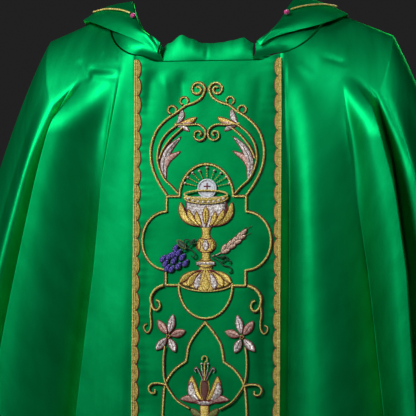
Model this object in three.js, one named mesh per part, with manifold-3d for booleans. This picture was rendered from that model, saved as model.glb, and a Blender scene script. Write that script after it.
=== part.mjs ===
// A hanging chasuble: six sewn cloth panels, a turned-over collar, gold braids and embroidery.
// Millimetres, +Z up, the front faces -Y. The origin lies midway between the shoulders that it hangs on.
import * as THREE from 'three';
import { mergeVertices } from 'three/addons/utils/BufferGeometryUtils.js';
import Module from 'manifold-3d';

const wasm = await Module();
wasm.setup();

// ---- Driving dimensions ----
const CLOTH = 2.0; // satin, interlining and lining together
const SEAM_GAP = 1.0; // between two panels that are sewn together
const PANEL_HALF = 100; // half the width of a centre panel
const NECK_HALF_WIDTH = 155; // neck opening, at the shoulder seam
const NECK_HALF_DEPTH = 97;
const NECK_SIDE_DROP = 14; // neck edge below the origin, at the shoulder seam
const FRONT_NECK_DROP = 92;
const BACK_NECK_DROP = 92;
const NECK_CORNER_RISE = 9; // neck edge at a panel's corner above its middle
const NECK_STRAIGHT_HALF = 70; // straight stretch of the neck edge
const SHOULDER_HALF_WIDTH = 247;
const SHOULDER_DROP = 52;
const SEAM_BEND_OUT = 73; // how the side seam bends from the shoulder's tip into the side
const SEAM_BEND_DROP = 133;
const SIDE_HALF_WIDTH = 430; // where the side seam ends
const SIDE_DROP = 600;
const FRONT_HEM_DROP = 1200; // below the origin, at the front centre
const BACK_HEM_DROP = 1210;
const HEM_HALF_DEPTH = 150;
const LEVEL_LIFT = 1.6; // how late a level line rises from the panel to the side seam

const COLLAR_GAP = 1.5;
const BAND_HALF = 64; // half the width of the collar's front band
const BAND_MIDDLE_RISE = 26; // top of the band above the neck edge
const BAND_PEAK_RISE = 36;
const BAND_END_RISE = 22;
const BAND_PEAK_SHARE = 0.68; // where the peak sits on the band's half width
// The collar at a front corner, at its front, at the shoulder seam and at the middle of the back.
const COLLAR_STATIONS = [0, 0.4, 1, 2];
const ROLL_RISE = [21, 37, 20, 18]; // roll line above the neck edge
const ROLL_LEAN = [1, 33, 35, 22]; // roll line inside the neck edge
const FALL_OUT = [8, 26, 66, 34]; // edge of the fall outside the roll line
const FALL_CLEARANCE = 4.8; // edge of the fall above the shoulder
const SHOULDER_SLOPE = (SHOULDER_DROP - NECK_SIDE_DROP) / (SHOULDER_HALF_WIDTH - NECK_HALF_WIDTH);
const FALL_SIDE_DROP = ROLL_RISE[2] + (FALL_OUT[2] - ROLL_LEAN[2]) * SHOULDER_SLOPE - FALL_CLEARANCE;
const FALL_DROP = [8, 15, FALL_SIDE_DROP, 30]; // edge of the fall below the roll line
const COLLAR_CORNER_SHARE = 0.16; // where the neck edge leaves the front panel
const COLLAR_BACK_SHARE = 0.55; // the stretch of it that the back panel takes
const ROLL_GAP = 3.2; // between the stand's top edge and the fall's

const LAYER = 1.8; // pitch of the embroidery's layers
const PLATE = 1.3; // thickness of one layer
const FIRST_LAYER = 0.5; // clear of the cloth
const CORD_WIDTH = 3.2;
const THREAD_WIDTH = 2.2;
const BRAID_PITCH = 24.8;
const BRAID_DEPTH = 5.0; // scallop
const BRAID_WEB = 1.4; // straight part of the braid
const EDGE_CORD_RADIUS = 1.0;
const TRIM_GAP = 0.4;
const SEAM_COVER = 2.2; // the edge cord reaches this far past the panel's edge
const BRAID_OUTER = PANEL_HALF + SEAM_COVER - 2 * EDGE_CORD_RADIUS - TRIM_GAP;
const HEM_MARGIN = 6; // trim ends this far above the hem

const LOBE_HALF = 37; // quatrefoil: top and bottom lobes
const LOBE_STEP = 55; // quatrefoil: inner corners
const LOBE_SIDE = 89; // quatrefoil: furthest point at the sides
const QUATREFOIL_TOP = 141.8;
const QUATREFOIL_BOTTOM = 351.3;
const UPPER_STEP = 185.6;
const LOWER_STEP = 306.5;
const SIDE_LOBE_TOP = 206.5;
const SIDE_LOBE_BOTTOM = 285.5;
const OGEE_GAP = 5.7; // below the quatrefoil
const OGEE_TOP = QUATREFOIL_BOTTOM + OGEE_GAP;
const OGEE_BOTTOM = 640;
const OGEE_HALF = 58;
const CUP_TOP = 184;
const CUP_BOTTOM = 227.8;
const KNOP_HALF = 13.9;
const FOOT_TOP = 283.8;
const FOOT_HALF = 37;
const HOST_RADIUS = 13.2;
const BACK_EMBLEM_SHIFT = 40; // the back's emblem sits this much lower

// The drawn design is as wide as the braids leave room for.
const DESIGN_GAP = 2.8;
const DESIGN_ROOM = BRAID_OUTER - BRAID_WEB - BRAID_DEPTH - DESIGN_GAP;
const DESIGN_SPREAD = DESIGN_ROOM / (LOBE_SIDE + CORD_WIDTH / 2);

const SIDE_COLUMNS = 16; // facets of the curved cloth
const SIDE_ROWS = 12;
const COLLAR_STEPS = 28;
const GEM_RADIUS = 4;
const GEM_SHARE = 0.62; // where along the collar each gem sits
const GEM_DOWN = 0.12;

// ---- Materials ----
const satin = () => new THREE.MeshStandardMaterial({ color: 0x067a42, roughness: 0.38, metalness: 0 });
const gold = () => new THREE.MeshStandardMaterial({ color: 0xc9a44c, roughness: 0.42, metalness: 0.6 });
const silver = () => new THREE.MeshStandardMaterial({ color: 0xb9b3ae, roughness: 0.45, metalness: 0.5 });
const violet = () => new THREE.MeshStandardMaterial({ color: 0x5a4bb0, roughness: 0.5, metalness: 0 });
const white = () => new THREE.MeshStandardMaterial({ color: 0xdfe8f2, roughness: 0.5, metalness: 0 });
const vineGreen = () => new THREE.MeshStandardMaterial({ color: 0x0b4a2b, roughness: 0.6, metalness: 0 });
const beige = () => new THREE.MeshStandardMaterial({ color: 0xc9a38c, roughness: 0.55, metalness: 0 });
const pink = () => new THREE.MeshStandardMaterial({ color: 0xc2407f, roughness: 0.2, metalness: 0 });

// ---- The garment's shape ----
const FRONT = { sign: -1, neckDrop: FRONT_NECK_DROP, hemDrop: FRONT_HEM_DROP };
const BACK = { sign: 1, neckDrop: BACK_NECK_DROP, hemDrop: BACK_HEM_DROP };

// Each centre panel hangs in one plane, from the neck edge out to the hem.
function panelLength(face) {
  return Math.hypot(face.hemDrop - face.neckDrop, HEM_HALF_DEPTH - NECK_HALF_DEPTH);
}

function panelPoint(face, x, down) {
  const share = down / panelLength(face);
  const y = face.sign * (NECK_HALF_DEPTH + (HEM_HALF_DEPTH - NECK_HALF_DEPTH) * share);
  return new THREE.Vector3(x, y, -face.neckDrop - (face.hemDrop - face.neckDrop) * share);
}

// The side seam: along the shoulder, over its tip and down the side.
const sideSeam = new THREE.CurvePath();
const neckSide = new THREE.Vector2(NECK_HALF_WIDTH, -NECK_SIDE_DROP);
const shoulderTip = new THREE.Vector2(SHOULDER_HALF_WIDTH, -SHOULDER_DROP);
const sideEnd = new THREE.Vector2(SIDE_HALF_WIDTH, -SIDE_DROP);
sideSeam.add(new THREE.LineCurve(neckSide, shoulderTip));
sideSeam.add(new THREE.QuadraticBezierCurve(
  shoulderTip,
  new THREE.Vector2(SHOULDER_HALF_WIDTH + SEAM_BEND_OUT, -SHOULDER_DROP - SEAM_BEND_DROP),
  sideEnd,
));

// Folds: each runs in a straight line from its top to its foot and gets deeper on the way down.
// [top x, top drop, foot x, foot drop, height outwards, half width], the foot being at waist height.
const FOLDS = [
  [122, 150, 160, 518, 9, 22],
  [165, 128, 208, 518, -13, 30],
  [205, 110, 256, 500, 15, 24],
  [222, 110, 282, 530, -20, 16],
  [245, 128, 318, 480, 14, 26],
  [250, 150, 372, 470, -12, 26],
];
const FOLD_START = 70; // a fold is flat at this drop
const FOLD_FULL = 420; // and has its full depth this far below that

function foldHeight(x, z) {
  const depth = Math.min(Math.max((-z - FOLD_START) / FOLD_FULL, 0), 1.6);
  let height = 0;
  for (const [topX, topDrop, footX, footDrop, tall, half] of FOLDS) {
    const line = topX + (footX - topX) * (-z - topDrop) / (footDrop - topDrop);
    height += tall * depth * Math.exp(-(((x - line) / half) ** 2));
  }
  return height;
}

function smooth(share) {
  const clamped = Math.min(Math.max(share, 0), 1);
  return clamped * clamped * (3 - 2 * clamped);
}

// A point of a side panel.
// across: 0 at the centre panel, 1 at the side seam. level: 0 at the neck, 1 at the hem.
function sidePoint(face, across, level) {
  const seam = sideSeam.getPointAt(level);
  const inner = PANEL_HALF + SEAM_GAP / 2;
  const down = level * (panelLength(face) + NECK_CORNER_RISE) - NECK_CORNER_RISE;
  const edge = panelPoint(face, inner, down);
  const turn = across * Math.PI / 2;
  const halfDepth = Math.abs(edge.y) - SEAM_GAP / 2;
  const x = inner + (seam.x - inner) * Math.sin(turn);
  const z = edge.z + (seam.y - edge.z) * across ** LEVEL_LIFT;
  const fade = smooth(across / 0.12) * smooth((1 - across) / 0.2) * smooth(level / 0.08);
  const fold = foldHeight(x, z) * fade;
  return new THREE.Vector3(
    x + fold * Math.sin(turn),
    face.sign * (SEAM_GAP / 2 + halfDepth * Math.cos(turn) + fold * Math.cos(turn)),
    z,
  );
}

// ---- Solids from surfaces ----

// A closed sheet. surface(i, j) is a point of the outer side, and the grid's normals give the inner side.
// seams: the axis that the normal keeps clear of at the first and last column, so that sewn edges stay apart.
function sheet(columns, rows, surface, outward, seams = [null, null]) {
  const outer = [];
  for (let j = 0; j <= rows; j++) {
    for (let i = 0; i <= columns; i++) {
      outer.push(surface(i / columns, j / rows));
    }
  }
  const at = (i, j) => outer[j * (columns + 1) + i];
  const inner = [];
  for (let j = 0; j <= rows; j++) {
    for (let i = 0; i <= columns; i++) {
      const along = at(Math.min(i + 1, columns), j).clone().sub(at(Math.max(i - 1, 0), j));
      const down = at(i, Math.min(j + 1, rows)).clone().sub(at(i, Math.max(j - 1, 0)));
      const normal = along.cross(down);
      const seam = { 0: seams[0], [columns]: seams[1] }[i];
      if (seam) {
        normal[seam] = 0;
      }
      normal.setLength(outward);
      inner.push(at(i, j).clone().addScaledVector(normal, -CLOTH));
    }
  }
  return closedGrid(outer, inner, columns, rows, outward);
}

function closedGrid(outer, inner, columns, rows, outward) {
  const positions = [...outer, ...inner].flatMap((point) => point.toArray());
  const shift = outer.length;
  const index = [];
  const id = (i, j) => j * (columns + 1) + i;
  const quad = (a, b, c, d) => {
    const faces = outward > 0 ? [a, b, c, a, c, d] : [a, c, b, a, d, c];
    index.push(...faces);
  };
  for (let j = 0; j < rows; j++) {
    for (let i = 0; i < columns; i++) {
      quad(id(i, j), id(i + 1, j), id(i + 1, j + 1), id(i, j + 1));
      quad(shift + id(i, j), shift + id(i, j + 1), shift + id(i + 1, j + 1), shift + id(i + 1, j));
    }
  }
  for (let i = 0; i < columns; i++) {
    quad(id(i + 1, 0), id(i, 0), shift + id(i, 0), shift + id(i + 1, 0));
    quad(id(i, rows), id(i + 1, rows), shift + id(i + 1, rows), shift + id(i, rows));
  }
  for (let j = 0; j < rows; j++) {
    quad(id(0, j), id(0, j + 1), shift + id(0, j + 1), shift + id(0, j));
    quad(id(columns, j + 1), id(columns, j), shift + id(columns, j), shift + id(columns, j + 1));
  }
  const geometry = new THREE.BufferGeometry();
  geometry.setAttribute('position', new THREE.Float32BufferAttribute(positions, 3));
  geometry.setIndex(index);
  return geometry;
}

function toSolid(geometry) {
  const bare = geometry.clone();
  bare.deleteAttribute('normal');
  bare.deleteAttribute('uv');
  const merged = mergeVertices(bare, 1e-4);
  return new wasm.Manifold(new wasm.Mesh({
    numProp: 3,
    vertProperties: new Float32Array(merged.attributes.position.array),
    triVerts: new Uint32Array(merged.index.array),
  }));
}

function join(geometries) {
  let solid = toSolid(geometries[0]);
  for (const geometry of geometries.slice(1)) {
    solid = solid.add(toSolid(geometry));
  }
  const mesh = solid.getMesh();
  const joined = new THREE.BufferGeometry();
  joined.setAttribute('position', new THREE.Float32BufferAttribute(mesh.vertProperties, 3));
  joined.setIndex([...mesh.triVerts]);
  return joined;
}

function named(name, geometry, material) {
  const mesh = new THREE.Mesh(geometry, material);
  mesh.name = name;
  return mesh;
}

// A piece of the embroidered design, spread to the room between the braids.
function motif(name, geometry, material) {
  return named(name, geometry.scale(DESIGN_SPREAD, 1, 1), material);
}

// ---- Embroidery helpers ----
// Flat outlines in a centre panel's plane, x across and d down from the neck edge.
const flat = (x, d) => new THREE.Vector2(x, -d);

function raise(shape, layer, thickness = PLATE) {
  const options = { depth: thickness, bevelEnabled: false, curveSegments: 6 };
  const geometry = new THREE.ExtrudeGeometry(shape, options);
  return geometry.translate(0, 0, FIRST_LAYER + LAYER * (layer - 1));
}

// The outline of a line of stitches or cord, offset to both sides of its path.
function sideLines(path, width, closed) {
  const count = path.length;
  return [1, -1].map((side) => path.map((point, i) => {
    const before = closed ? path[(i - 1 + count) % count] : path[Math.max(i - 1, 0)];
    const after = closed ? path[(i + 1) % count] : path[Math.min(i + 1, count - 1)];
    const into = point.clone().sub(before);
    const out = after.clone().sub(point);
    const first = (into.length() > 0 ? into : out).clone().normalize();
    const second = (out.length() > 0 ? out : into).clone().normalize();
    const across = new THREE.Vector2(-first.y - second.y, first.x + second.x).normalize();
    const stretch = Math.min(1 / Math.max(across.dot(new THREE.Vector2(-first.y, first.x)), 0.5), 2);
    return point.clone().addScaledVector(across, side * stretch * width / 2);
  }));
}

function stroke(path, width, layer) {
  const [left, right] = sideLines(path, width, false);
  return raise(new THREE.Shape([...left, ...right.reverse()]), layer);
}

function loop(points, width, layer) {
  const path = THREE.ShapeUtils.isClockWise(points) ? [...points].reverse() : points;
  const [left, right] = sideLines(path, width, true);
  const leftOutside = Math.abs(THREE.ShapeUtils.area(left)) > Math.abs(THREE.ShapeUtils.area(right));
  const shape = new THREE.Shape(leftOutside ? left : right);
  shape.holes.push(new THREE.Path(leftOutside ? right : left));
  return raise(shape, layer);
}

function spline(points, steps) {
  return new THREE.SplineCurve(points).getPoints(steps);
}

function arc(centre, radiusX, radiusY, from, to, steps) {
  const points = [];
  for (let i = 0; i <= steps; i++) {
    const angle = THREE.MathUtils.degToRad(from + (to - from) * i / steps);
    const [across, up] = [radiusX * Math.cos(angle), radiusY * Math.sin(angle)];
    points.push(new THREE.Vector2(centre.x + across, centre.y + up));
  }
  return points;
}

function oval(centre, radiusX, radiusY, steps = 12) {
  return new THREE.Shape(arc(centre, radiusX, radiusY, 0, 360 - 360 / steps, steps - 1));
}

// A pointed petal or leaf from its base to its tip.
function petal(base, tip, width) {
  const middle = base.clone().lerp(tip, 0.55);
  const along = tip.clone().sub(base).normalize();
  const across = new THREE.Vector2(-along.y, along.x);
  const left = middle.clone().addScaledVector(across, width / 2);
  const right = middle.clone().addScaledVector(across, -width / 2);
  const foot = base.clone().addScaledVector(along, width * 0.15);
  const start = foot.clone().addScaledVector(across, width * 0.12);
  const end = foot.clone().addScaledVector(across, -width * 0.12);
  return new THREE.Shape([...spline([end, right, tip], 4), ...spline([tip, left, start], 4).slice(1)]);
}

// A symmetrical outline from the points of its right half, top to bottom.
function mirrored(half) {
  const right = half.map(([x, d]) => flat(x, d));
  const left = half.filter(([x]) => x > 0).map(([x, d]) => flat(-x, d)).reverse();
  return new THREE.Shape([...right, ...left]);
}

// ---- Embroidery motifs; side is -1 on the wearer's right, +1 on the left ----

function quatrefoil(shift) {
  const at = (x, d) => flat(x, d + shift);
  const upperRise = UPPER_STEP - QUATREFOIL_TOP;
  const lowerRise = QUATREFOIL_BOTTOM - LOWER_STEP;
  const sideMiddle = (SIDE_LOBE_TOP + SIDE_LOBE_BOTTOM) / 2;
  const sideHalf = (SIDE_LOBE_BOTTOM - SIDE_LOBE_TOP) / 2;
  const path = [
    ...arc(at(0, UPPER_STEP), LOBE_HALF, upperRise, 180, 0, 10),
    at(LOBE_STEP, UPPER_STEP),
    ...arc(at(LOBE_STEP, sideMiddle), LOBE_SIDE - LOBE_STEP, sideHalf, 90, -90, 8),
    at(LOBE_STEP, LOWER_STEP),
    ...arc(at(0, LOWER_STEP), LOBE_HALF, lowerRise, 0, -180, 10),
    at(-LOBE_STEP, LOWER_STEP),
    ...arc(at(-LOBE_STEP, sideMiddle), LOBE_SIDE - LOBE_STEP, sideHalf, 270, 90, 8),
    at(-LOBE_STEP, UPPER_STEP),
  ];
  return loop(path, CORD_WIDTH, 1);
}

function ogee() {
  const half = [
    [0, OGEE_TOP], [12, 372], [22.6, 390], [26, 410], [42, 423], [53, 439], [OGEE_HALF - 2, 455],
    [OGEE_HALF, 490], [OGEE_HALF - 1, 530], [49, 570], [32, 604], [0, OGEE_BOTTOM],
  ];
  const right = half.map(([x, d]) => flat(x, d));
  const left = half.slice(1, -1).map(([x, d]) => flat(-x, d)).reverse();
  return loop([...right, ...left], CORD_WIDTH, 1);
}

function upperScroll(side) {
  const curl = arc(flat(side * 13.2, 38.2), side * 9.5, 9.5, 250, -40, 9);
  const sweep = spline([
    flat(side * 5.9, 44.3), flat(side * 8, 50), flat(side * 18.4, 57), flat(side * 30, 61),
    flat(side * 42, 70),
    flat(side * 56.6, 79.6), flat(side * 70, 94), flat(side * 77.5, 112), flat(side * 78.7, 130),
    flat(side * 75, 149), flat(side * 66, 167), flat(side * 56, 180),
  ], 20);
  const upperLoop = arc(flat(side * 32.2, 55), side * 5.4, 5.4, 200, -110, 7);
  const outerLoop = arc(flat(side * 48.5, 68), side * 5.4, 5.4, 200, -110, 7);
  return join([
    stroke(curl, CORD_WIDTH, 1),
    stroke(sweep, CORD_WIDTH, 1),
    stroke(upperLoop, THREAD_WIDTH, 1),
    stroke(outerLoop, THREAD_WIDTH, 1),
  ]);
}

function innerStem(side) {
  const outer = spline([
    flat(side * 42.4, 87.6), flat(side * 57, 100), flat(side * 66, 114.6), flat(side * 69, 132.6),
    flat(side * 66, 147), flat(side * 58.8, 161.6), flat(side * 48, 172), flat(side * 39, 181),
  ], 12);
  const inner = spline([
    flat(side * 33.5, 91), flat(side * 49.6, 105.5), flat(side * 60.5, 120), flat(side * 67.5, 134),
  ], 5);
  const lower = spline([
    flat(side * 47, 91.4), flat(side * 40, 87), flat(side * 28, 87.6), flat(side * 11.8, 87.6),
    flat(side * 3, 95),
    flat(side * 4, 106), flat(side * 12, 108.5), flat(side * 16.5, 103), flat(side * 13, 97),
  ], 13);
  return join([outer, inner, lower].map((path) => stroke(path, THREAD_WIDTH, 2)));
}

function lily(side) {
  const base = flat(side * 43, 86.4);
  const tips = [[35.4, 68, 8], [15, 77.5, 9], [24.5, 95.2, 7]];
  const petals = tips.map(([x, d, width]) => raise(petal(base, flat(side * x, d), width), 1));
  return join([...petals, raise(oval(base, 3.2, 3.2, 8), 1)]);
}

function leaf(side) {
  const long = petal(flat(side * 57.8, 163), flat(side * 36.2, 103.8), 11);
  const short = petal(flat(side * 56.3, 150), flat(side * 36.2, 123.8), 8);
  return join([raise(long, 1), raise(short, 1)]);
}

function cornerScroll(side) {
  const drop = spline([
    flat(side * 58.6, 306.7), flat(side * 68.4, 311.4), flat(side * 75, 320), flat(side * 76.3, 328),
    flat(side * 73, 338), flat(side * 66.5, 340), flat(side * 63.5, 333.5), flat(side * 67, 327.5),
  ], 13);
  const tail = spline([
    flat(side * 75.5, 333), flat(side * 76.8, 346), flat(side * 75.3, 364), flat(side * 79.8, 371),
    flat(side * 85, 367), flat(side * 83.5, 360.5),
  ], 9);
  return join([stroke(drop, CORD_WIDTH, 2), stroke(tail, THREAD_WIDTH, 2)]);
}

function smallFlower(side) {
  const centre = flat(side * 50.7, 376);
  const tips = [[44.3, 347], [65.7, 354.6], [28.6, 369], [41.5, 397], [67.7, 394.4]];
  const petals = tips.map(([x, d]) => raise(petal(centre, flat(side * x, d), 10.5), 2));
  return join([...petals, raise(oval(centre, 4, 4, 8), 2)]);
}

function flowerStem(side) {
  const stem = spline([
    flat(side * 56, 388), flat(side * 57.4, 406.5), flat(side * 56.8, 428), flat(side * 53.2, 441.7),
    flat(side * 45.8, 453.8), flat(side * 36.2, 464.7), flat(side * 20.4, 473.8),
  ], 9);
  const curl = spline([
    flat(side * 52.5, 443), flat(side * 66.6, 440), flat(side * 75, 443), flat(side * 77.5, 449),
    flat(side * 72.6, 454), flat(side * 68, 450.5),
  ], 9);
  return join([stroke(stem, THREAD_WIDTH, 3), stroke(curl, THREAD_WIDTH, 3)]);
}

function tulip() {
  const parts = [oval(flat(0, 448), 9, 17, 14), mirrored([[6.5, 462], [7.5, 478], [5, 505], [0, 508]])];
  for (const side of [-1, 1]) {
    parts.push(petal(flat(side * 3, 462), flat(side * 17, 430.7), 13));
    parts.push(oval(flat(side * 16.3, 449.5), 5.5, 11, 10));
    parts.push(petal(flat(side * 5, 464), flat(side * 32.6, 462), 11));
    parts.push(petal(flat(side * 3, 484), flat(side * 19, 474), 9));
  }
  return join(parts.map((shape) => raise(shape, 1)));
}

function stamens() {
  const stem = spline([flat(0, 440), flat(0, 421), flat(0, 404)], 4);
  const strokes = [stroke(stem, THREAD_WIDTH, 2)];
  for (const side of [-1, 1]) {
    const curl = spline([flat(0, 430), flat(side * 5, 416), flat(side * 11, 419)], 6);
    strokes.push(stroke(curl, THREAD_WIDTH, 2));
  }
  return join(strokes);
}


function chaliceCup() {
  const bowl = mirrored([[28, CUP_TOP], [27.5, 205], [25, 216], [17.7, 223.7], [6, CUP_BOTTOM]]);
  const calyx = [-1, 1].map((side) => petal(flat(side * 22, 219), flat(side * 36, 194), 10));
  return join([bowl, ...calyx].map((shape) => raise(shape, 1)));
}

function chaliceRim() {
  const upper = arc(flat(0, 183), 29.5, 5.5, 0, 180, 10);
  const lower = arc(flat(0, 189), 29.2, 7, 180, 360, 10);
  return raise(new THREE.Shape([...upper, ...lower]), 3);
}

function pearlRow() {
  const row = arc(flat(0, 189), 25, 4, 195, 345, 7);
  const strand = stroke(row, 1.6, 4);
  return join([strand, ...row.map((centre) => raise(oval(centre, 1.9, 1.9, 6), 4))]);
}

function chaliceStem() {
  return raise(mirrored([
    [7.5, CUP_BOTTOM + TRIM_GAP], [5, 236], [6.5, 242], [11.5, 246], [KNOP_HALF, 252], [11.5, 258], [6, 262],
    [5.6, 271], [8.3, 273], [13.1, 274.4], [13.1, 279.3], [8.6, FOOT_TOP - TRIM_GAP],
  ]), 1);
}

function chaliceFoot() {
  return raise(mirrored([
    [9, FOOT_TOP], [14, 292], [25, 298], [FOOT_HALF, 303], [30, 307.5], [21.5, 308.4], [14, 313], [6, 313.5],
    [0, 314.7],
  ]), 1);
}

const HOST_CENTRE = flat(1.4, 174.8);

function rays() {
  const ringRadius = HOST_RADIUS + 1.7;
  const ring = loop(arc(HOST_CENTRE, ringRadius, ringRadius, 0, 340, 17), 1.8, 2);
  const ends = [[0.7, 146.3], [11, 151], [24, 156.4], [31, 168.2], [-11.6, 151], [-22, 155], [-29.5, 166]];
  const pieces = ends.map(([x, d]) => {
    const end = flat(x, d);
    const start = end.clone().sub(HOST_CENTRE).setLength(ringRadius).add(HOST_CENTRE);
    return [stroke([start, end], 1.6, 2), raise(oval(end, 1.9, 1.9, 6), 2)];
  });
  return join([ring, ...pieces.flat()]);
}

function grapes() {
  const centres = [
    [41.3, 255.8], [37.5, 262.5], [50.7, 267.5], [32.3, 268.6], [43.8, 273.4], [55.5, 277.3], [27.7, 276.5],
    [37.5, 280.4], [52.8, 283.2], [46.9, 284.6],
  ];
  const berries = centres.map(([x, d]) => petal(flat(-x - 4, d + 6), flat(-x + 4.5, d - 7), 8.4));
  return join([...berries, oval(flat(-41, 273), 13, 9)].map((shape) => raise(shape, 2)));
}

function vine() {
  const stem = spline([flat(-12, 249), flat(-20, 251), flat(-27, 258), flat(-34, 262)], 8);
  const curl = spline([flat(-20, 251), flat(-24, 246), flat(-29, 247), flat(-28, 251)], 8);
  const leafShape = petal(flat(-26.5, 259), flat(-39, 246), 7);
  return join([stroke(stem, THREAD_WIDTH, 3), stroke(curl, 1.8, 3), raise(leafShape, 3)]);
}

function wheatEar() {
  const stem = spline([flat(9, 267), flat(21, 262), flat(42, 244.7), flat(51, 234)], 8);
  const grains = [
    [22.9, 254, -1], [30.3, 248.7, -1], [36.9, 243.6, -1], [43.4, 237.7, -1], [51, 234, 0],
    [27.9, 261.3, 1], [36.2, 255, 1], [43.8, 248.7, 1], [49.6, 242.2, 1],
  ];
  const seeds = grains.map(([x, d, row]) => {
    const base = flat(x - 4.2 - 2.2 * row, d + 4.6 - 3 * row);
    return petal(base, flat(x + 5.5, d - 4), 6);
  });
  return join([stroke(stem, THREAD_WIDTH, 1), ...seeds.map((shape) => raise(shape, 1))]);
}

function tendril() {
  const sweep = spline([flat(9, 268), flat(17.7, 273), flat(24, 279), flat(33, 281), flat(35, 288)], 10);
  const curl = spline([flat(21, 276), flat(28, 272), flat(34, 274)], 5);
  return join([stroke(sweep, 1.8, 2), stroke(curl, 1.8, 2)]);
}

function backCross() {
  const centre = 245 + BACK_EMBLEM_SHIFT;
  const arm = 8;
  const outline = [
    [-arm, -60], [arm, -60], [arm, -arm], [48, -arm], [48, arm], [arm, arm], [arm, 75], [-arm, 75],
    [-arm, arm],
    [-48, arm], [-48, -arm], [-arm, -arm],
  ];
  return raise(new THREE.Shape(outline.map(([x, d]) => flat(x, centre + d))), 1);
}

// ---- Trim along the centre panels ----

function trimEnds(face) {
  return [-NECK_CORNER_RISE + HEM_MARGIN, panelLength(face) - HEM_MARGIN];
}

// A braid: straight on its outer side, scalloped towards the panel's middle.
function braid(face, side) {
  const [top, bottom] = trimEnds(face);
  const count = Math.round((bottom - top) / BRAID_PITCH);
  const pitch = (bottom - top) / count;
  const webEdge = BRAID_OUTER - BRAID_WEB;
  const outline = [flat(side * BRAID_OUTER, bottom), flat(side * BRAID_OUTER, top)];
  for (let i = 0; i < count; i++) {
    const start = top + pitch * i;
    for (const share of [0, 0.3, 0.7]) {
      const reach = BRAID_DEPTH * Math.sin(Math.PI * share);
      outline.push(flat(side * (webEdge - reach), start + pitch * share));
    }
  }
  outline.push(flat(side * webEdge, bottom));
  return raise(new THREE.Shape(outline), 1);
}

function edgeCord(face, side) {
  const [top, bottom] = trimEnds(face);
  const x = side * (BRAID_OUTER + TRIM_GAP + EDGE_CORD_RADIUS);
  const height = FIRST_LAYER + EDGE_CORD_RADIUS;
  const ends = [top, bottom].map((down) => new THREE.Vector3(x, -down, height));
  const path = new THREE.LineCurve3(...ends);
  const centre = new THREE.Vector2(0, 0);
  const section = new THREE.Shape(arc(centre, EDGE_CORD_RADIUS, EDGE_CORD_RADIUS, 0, 315, 7));
  return new THREE.ExtrudeGeometry(section, { steps: 1, extrudePath: path, bevelEnabled: false });
}

// ---- Cloth panels ----

// A centre panel, whose neck edge rises towards its corners.
function centrePanel(face) {
  const half = PANEL_HALF - SEAM_GAP / 2;
  const length = panelLength(face);
  const shape = new THREE.Shape([
    flat(-half, -NECK_CORNER_RISE), flat(-NECK_STRAIGHT_HALF, 0), flat(NECK_STRAIGHT_HALF, 0),
    flat(half, -NECK_CORNER_RISE), flat(half, length), flat(-half, length),
  ]);
  return new THREE.ExtrudeGeometry(shape, { depth: CLOTH, bevelEnabled: false }).translate(0, 0, -CLOTH);
}


function sidePanel(face, side) {
  const surface = (across, share) => {
    const point = sidePoint(face, across, share ** 1.25);
    point.x *= side;
    return point;
  };
  return sheet(SIDE_COLUMNS, SIDE_ROWS, surface, face.sign * side, ['x', 'y']);
}

// ---- Collar ----

// The neck edge, from a front corner of the band (0) over the shoulder seam (1) to the middle of the
// back (2).
function neckEdge(share) {
  if (share <= 1) {
    const straight = COLLAR_CORNER_SHARE;
    if (share < straight) {
      const x = BAND_HALF + (PANEL_HALF - BAND_HALF) * share / straight;
      return panelPoint(FRONT, x, -NECK_CORNER_RISE * smooth((x - BAND_HALF) / (PANEL_HALF - BAND_HALF)));
    }
    return sidePoint(FRONT, (share - straight) / (1 - straight), 0);
  }
  const straight = COLLAR_BACK_SHARE;
  if (share > 2 - straight) {
    return panelPoint(BACK, PANEL_HALF * (2 - share) / straight, 0);
  }
  return sidePoint(BACK, (2 - straight - share) / (1 - straight), 0);
}

// The value at a share of the collar's run, between the values at its stations.
function blend(share, values) {
  const next = Math.max(COLLAR_STATIONS.findIndex((station) => share <= station), 1);
  const start = COLLAR_STATIONS[next - 1];
  const along = smooth((share - start) / (COLLAR_STATIONS[next] - start));
  return values[next - 1] + (values[next] - values[next - 1]) * along;
}

function rollLine(share) {
  const edge = neckEdge(share);
  const plan = new THREE.Vector2(edge.x, edge.y);
  plan.setLength(plan.length() - blend(share, ROLL_LEAN));
  return new THREE.Vector3(plan.x, plan.y, edge.z + blend(share, ROLL_RISE));
}

// Both halves of the collar in one run: around goes from the right front corner (0) to the left one (1).
function mirroredRun(around, point) {
  const share = around < 0.5 ? around * 4 : (1 - around) * 4;
  const result = point(share);
  result.x *= around < 0.5 ? 1 : -1;
  return result;
}

function standPoint(share, up) {
  const edge = neckEdge(share);
  const roll = rollLine(share);
  const foot = new THREE.Vector2(edge.x, edge.y);
  foot.setLength(foot.length() - COLLAR_GAP - CLOTH);
  const bulge = 5 * Math.sin(Math.PI * up);
  const plan = foot.lerp(new THREE.Vector2(roll.x, roll.y), up);
  plan.setLength(plan.length() + bulge);
  return new THREE.Vector3(plan.x, plan.y, edge.z + COLLAR_GAP + (roll.z - edge.z - COLLAR_GAP) * up);
}

function fallPoint(share, down) {
  const roll = rollLine(share);
  const plan = new THREE.Vector2(roll.x, roll.y);
  const out = blend(share, FALL_OUT);
  const drop = blend(share, FALL_DROP);
  plan.setLength(plan.length() + ROLL_GAP * (1 - down) + out * down);
  const arch = 5 * Math.sin(Math.PI * down);
  return new THREE.Vector3(plan.x, plan.y, roll.z + ROLL_GAP - (drop + ROLL_GAP) * down ** 1.2 + arch);
}


function collarStand() {
  const surface = (around, down) => mirroredRun(around, (share) => standPoint(share, 1 - down));
  return sheet(COLLAR_STEPS, 3, surface, -1);
}

function collarFall() {
  return sheet(COLLAR_STEPS, 4, (around, down) => mirroredRun(around, (share) => fallPoint(share, down)), -1);
}

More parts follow.
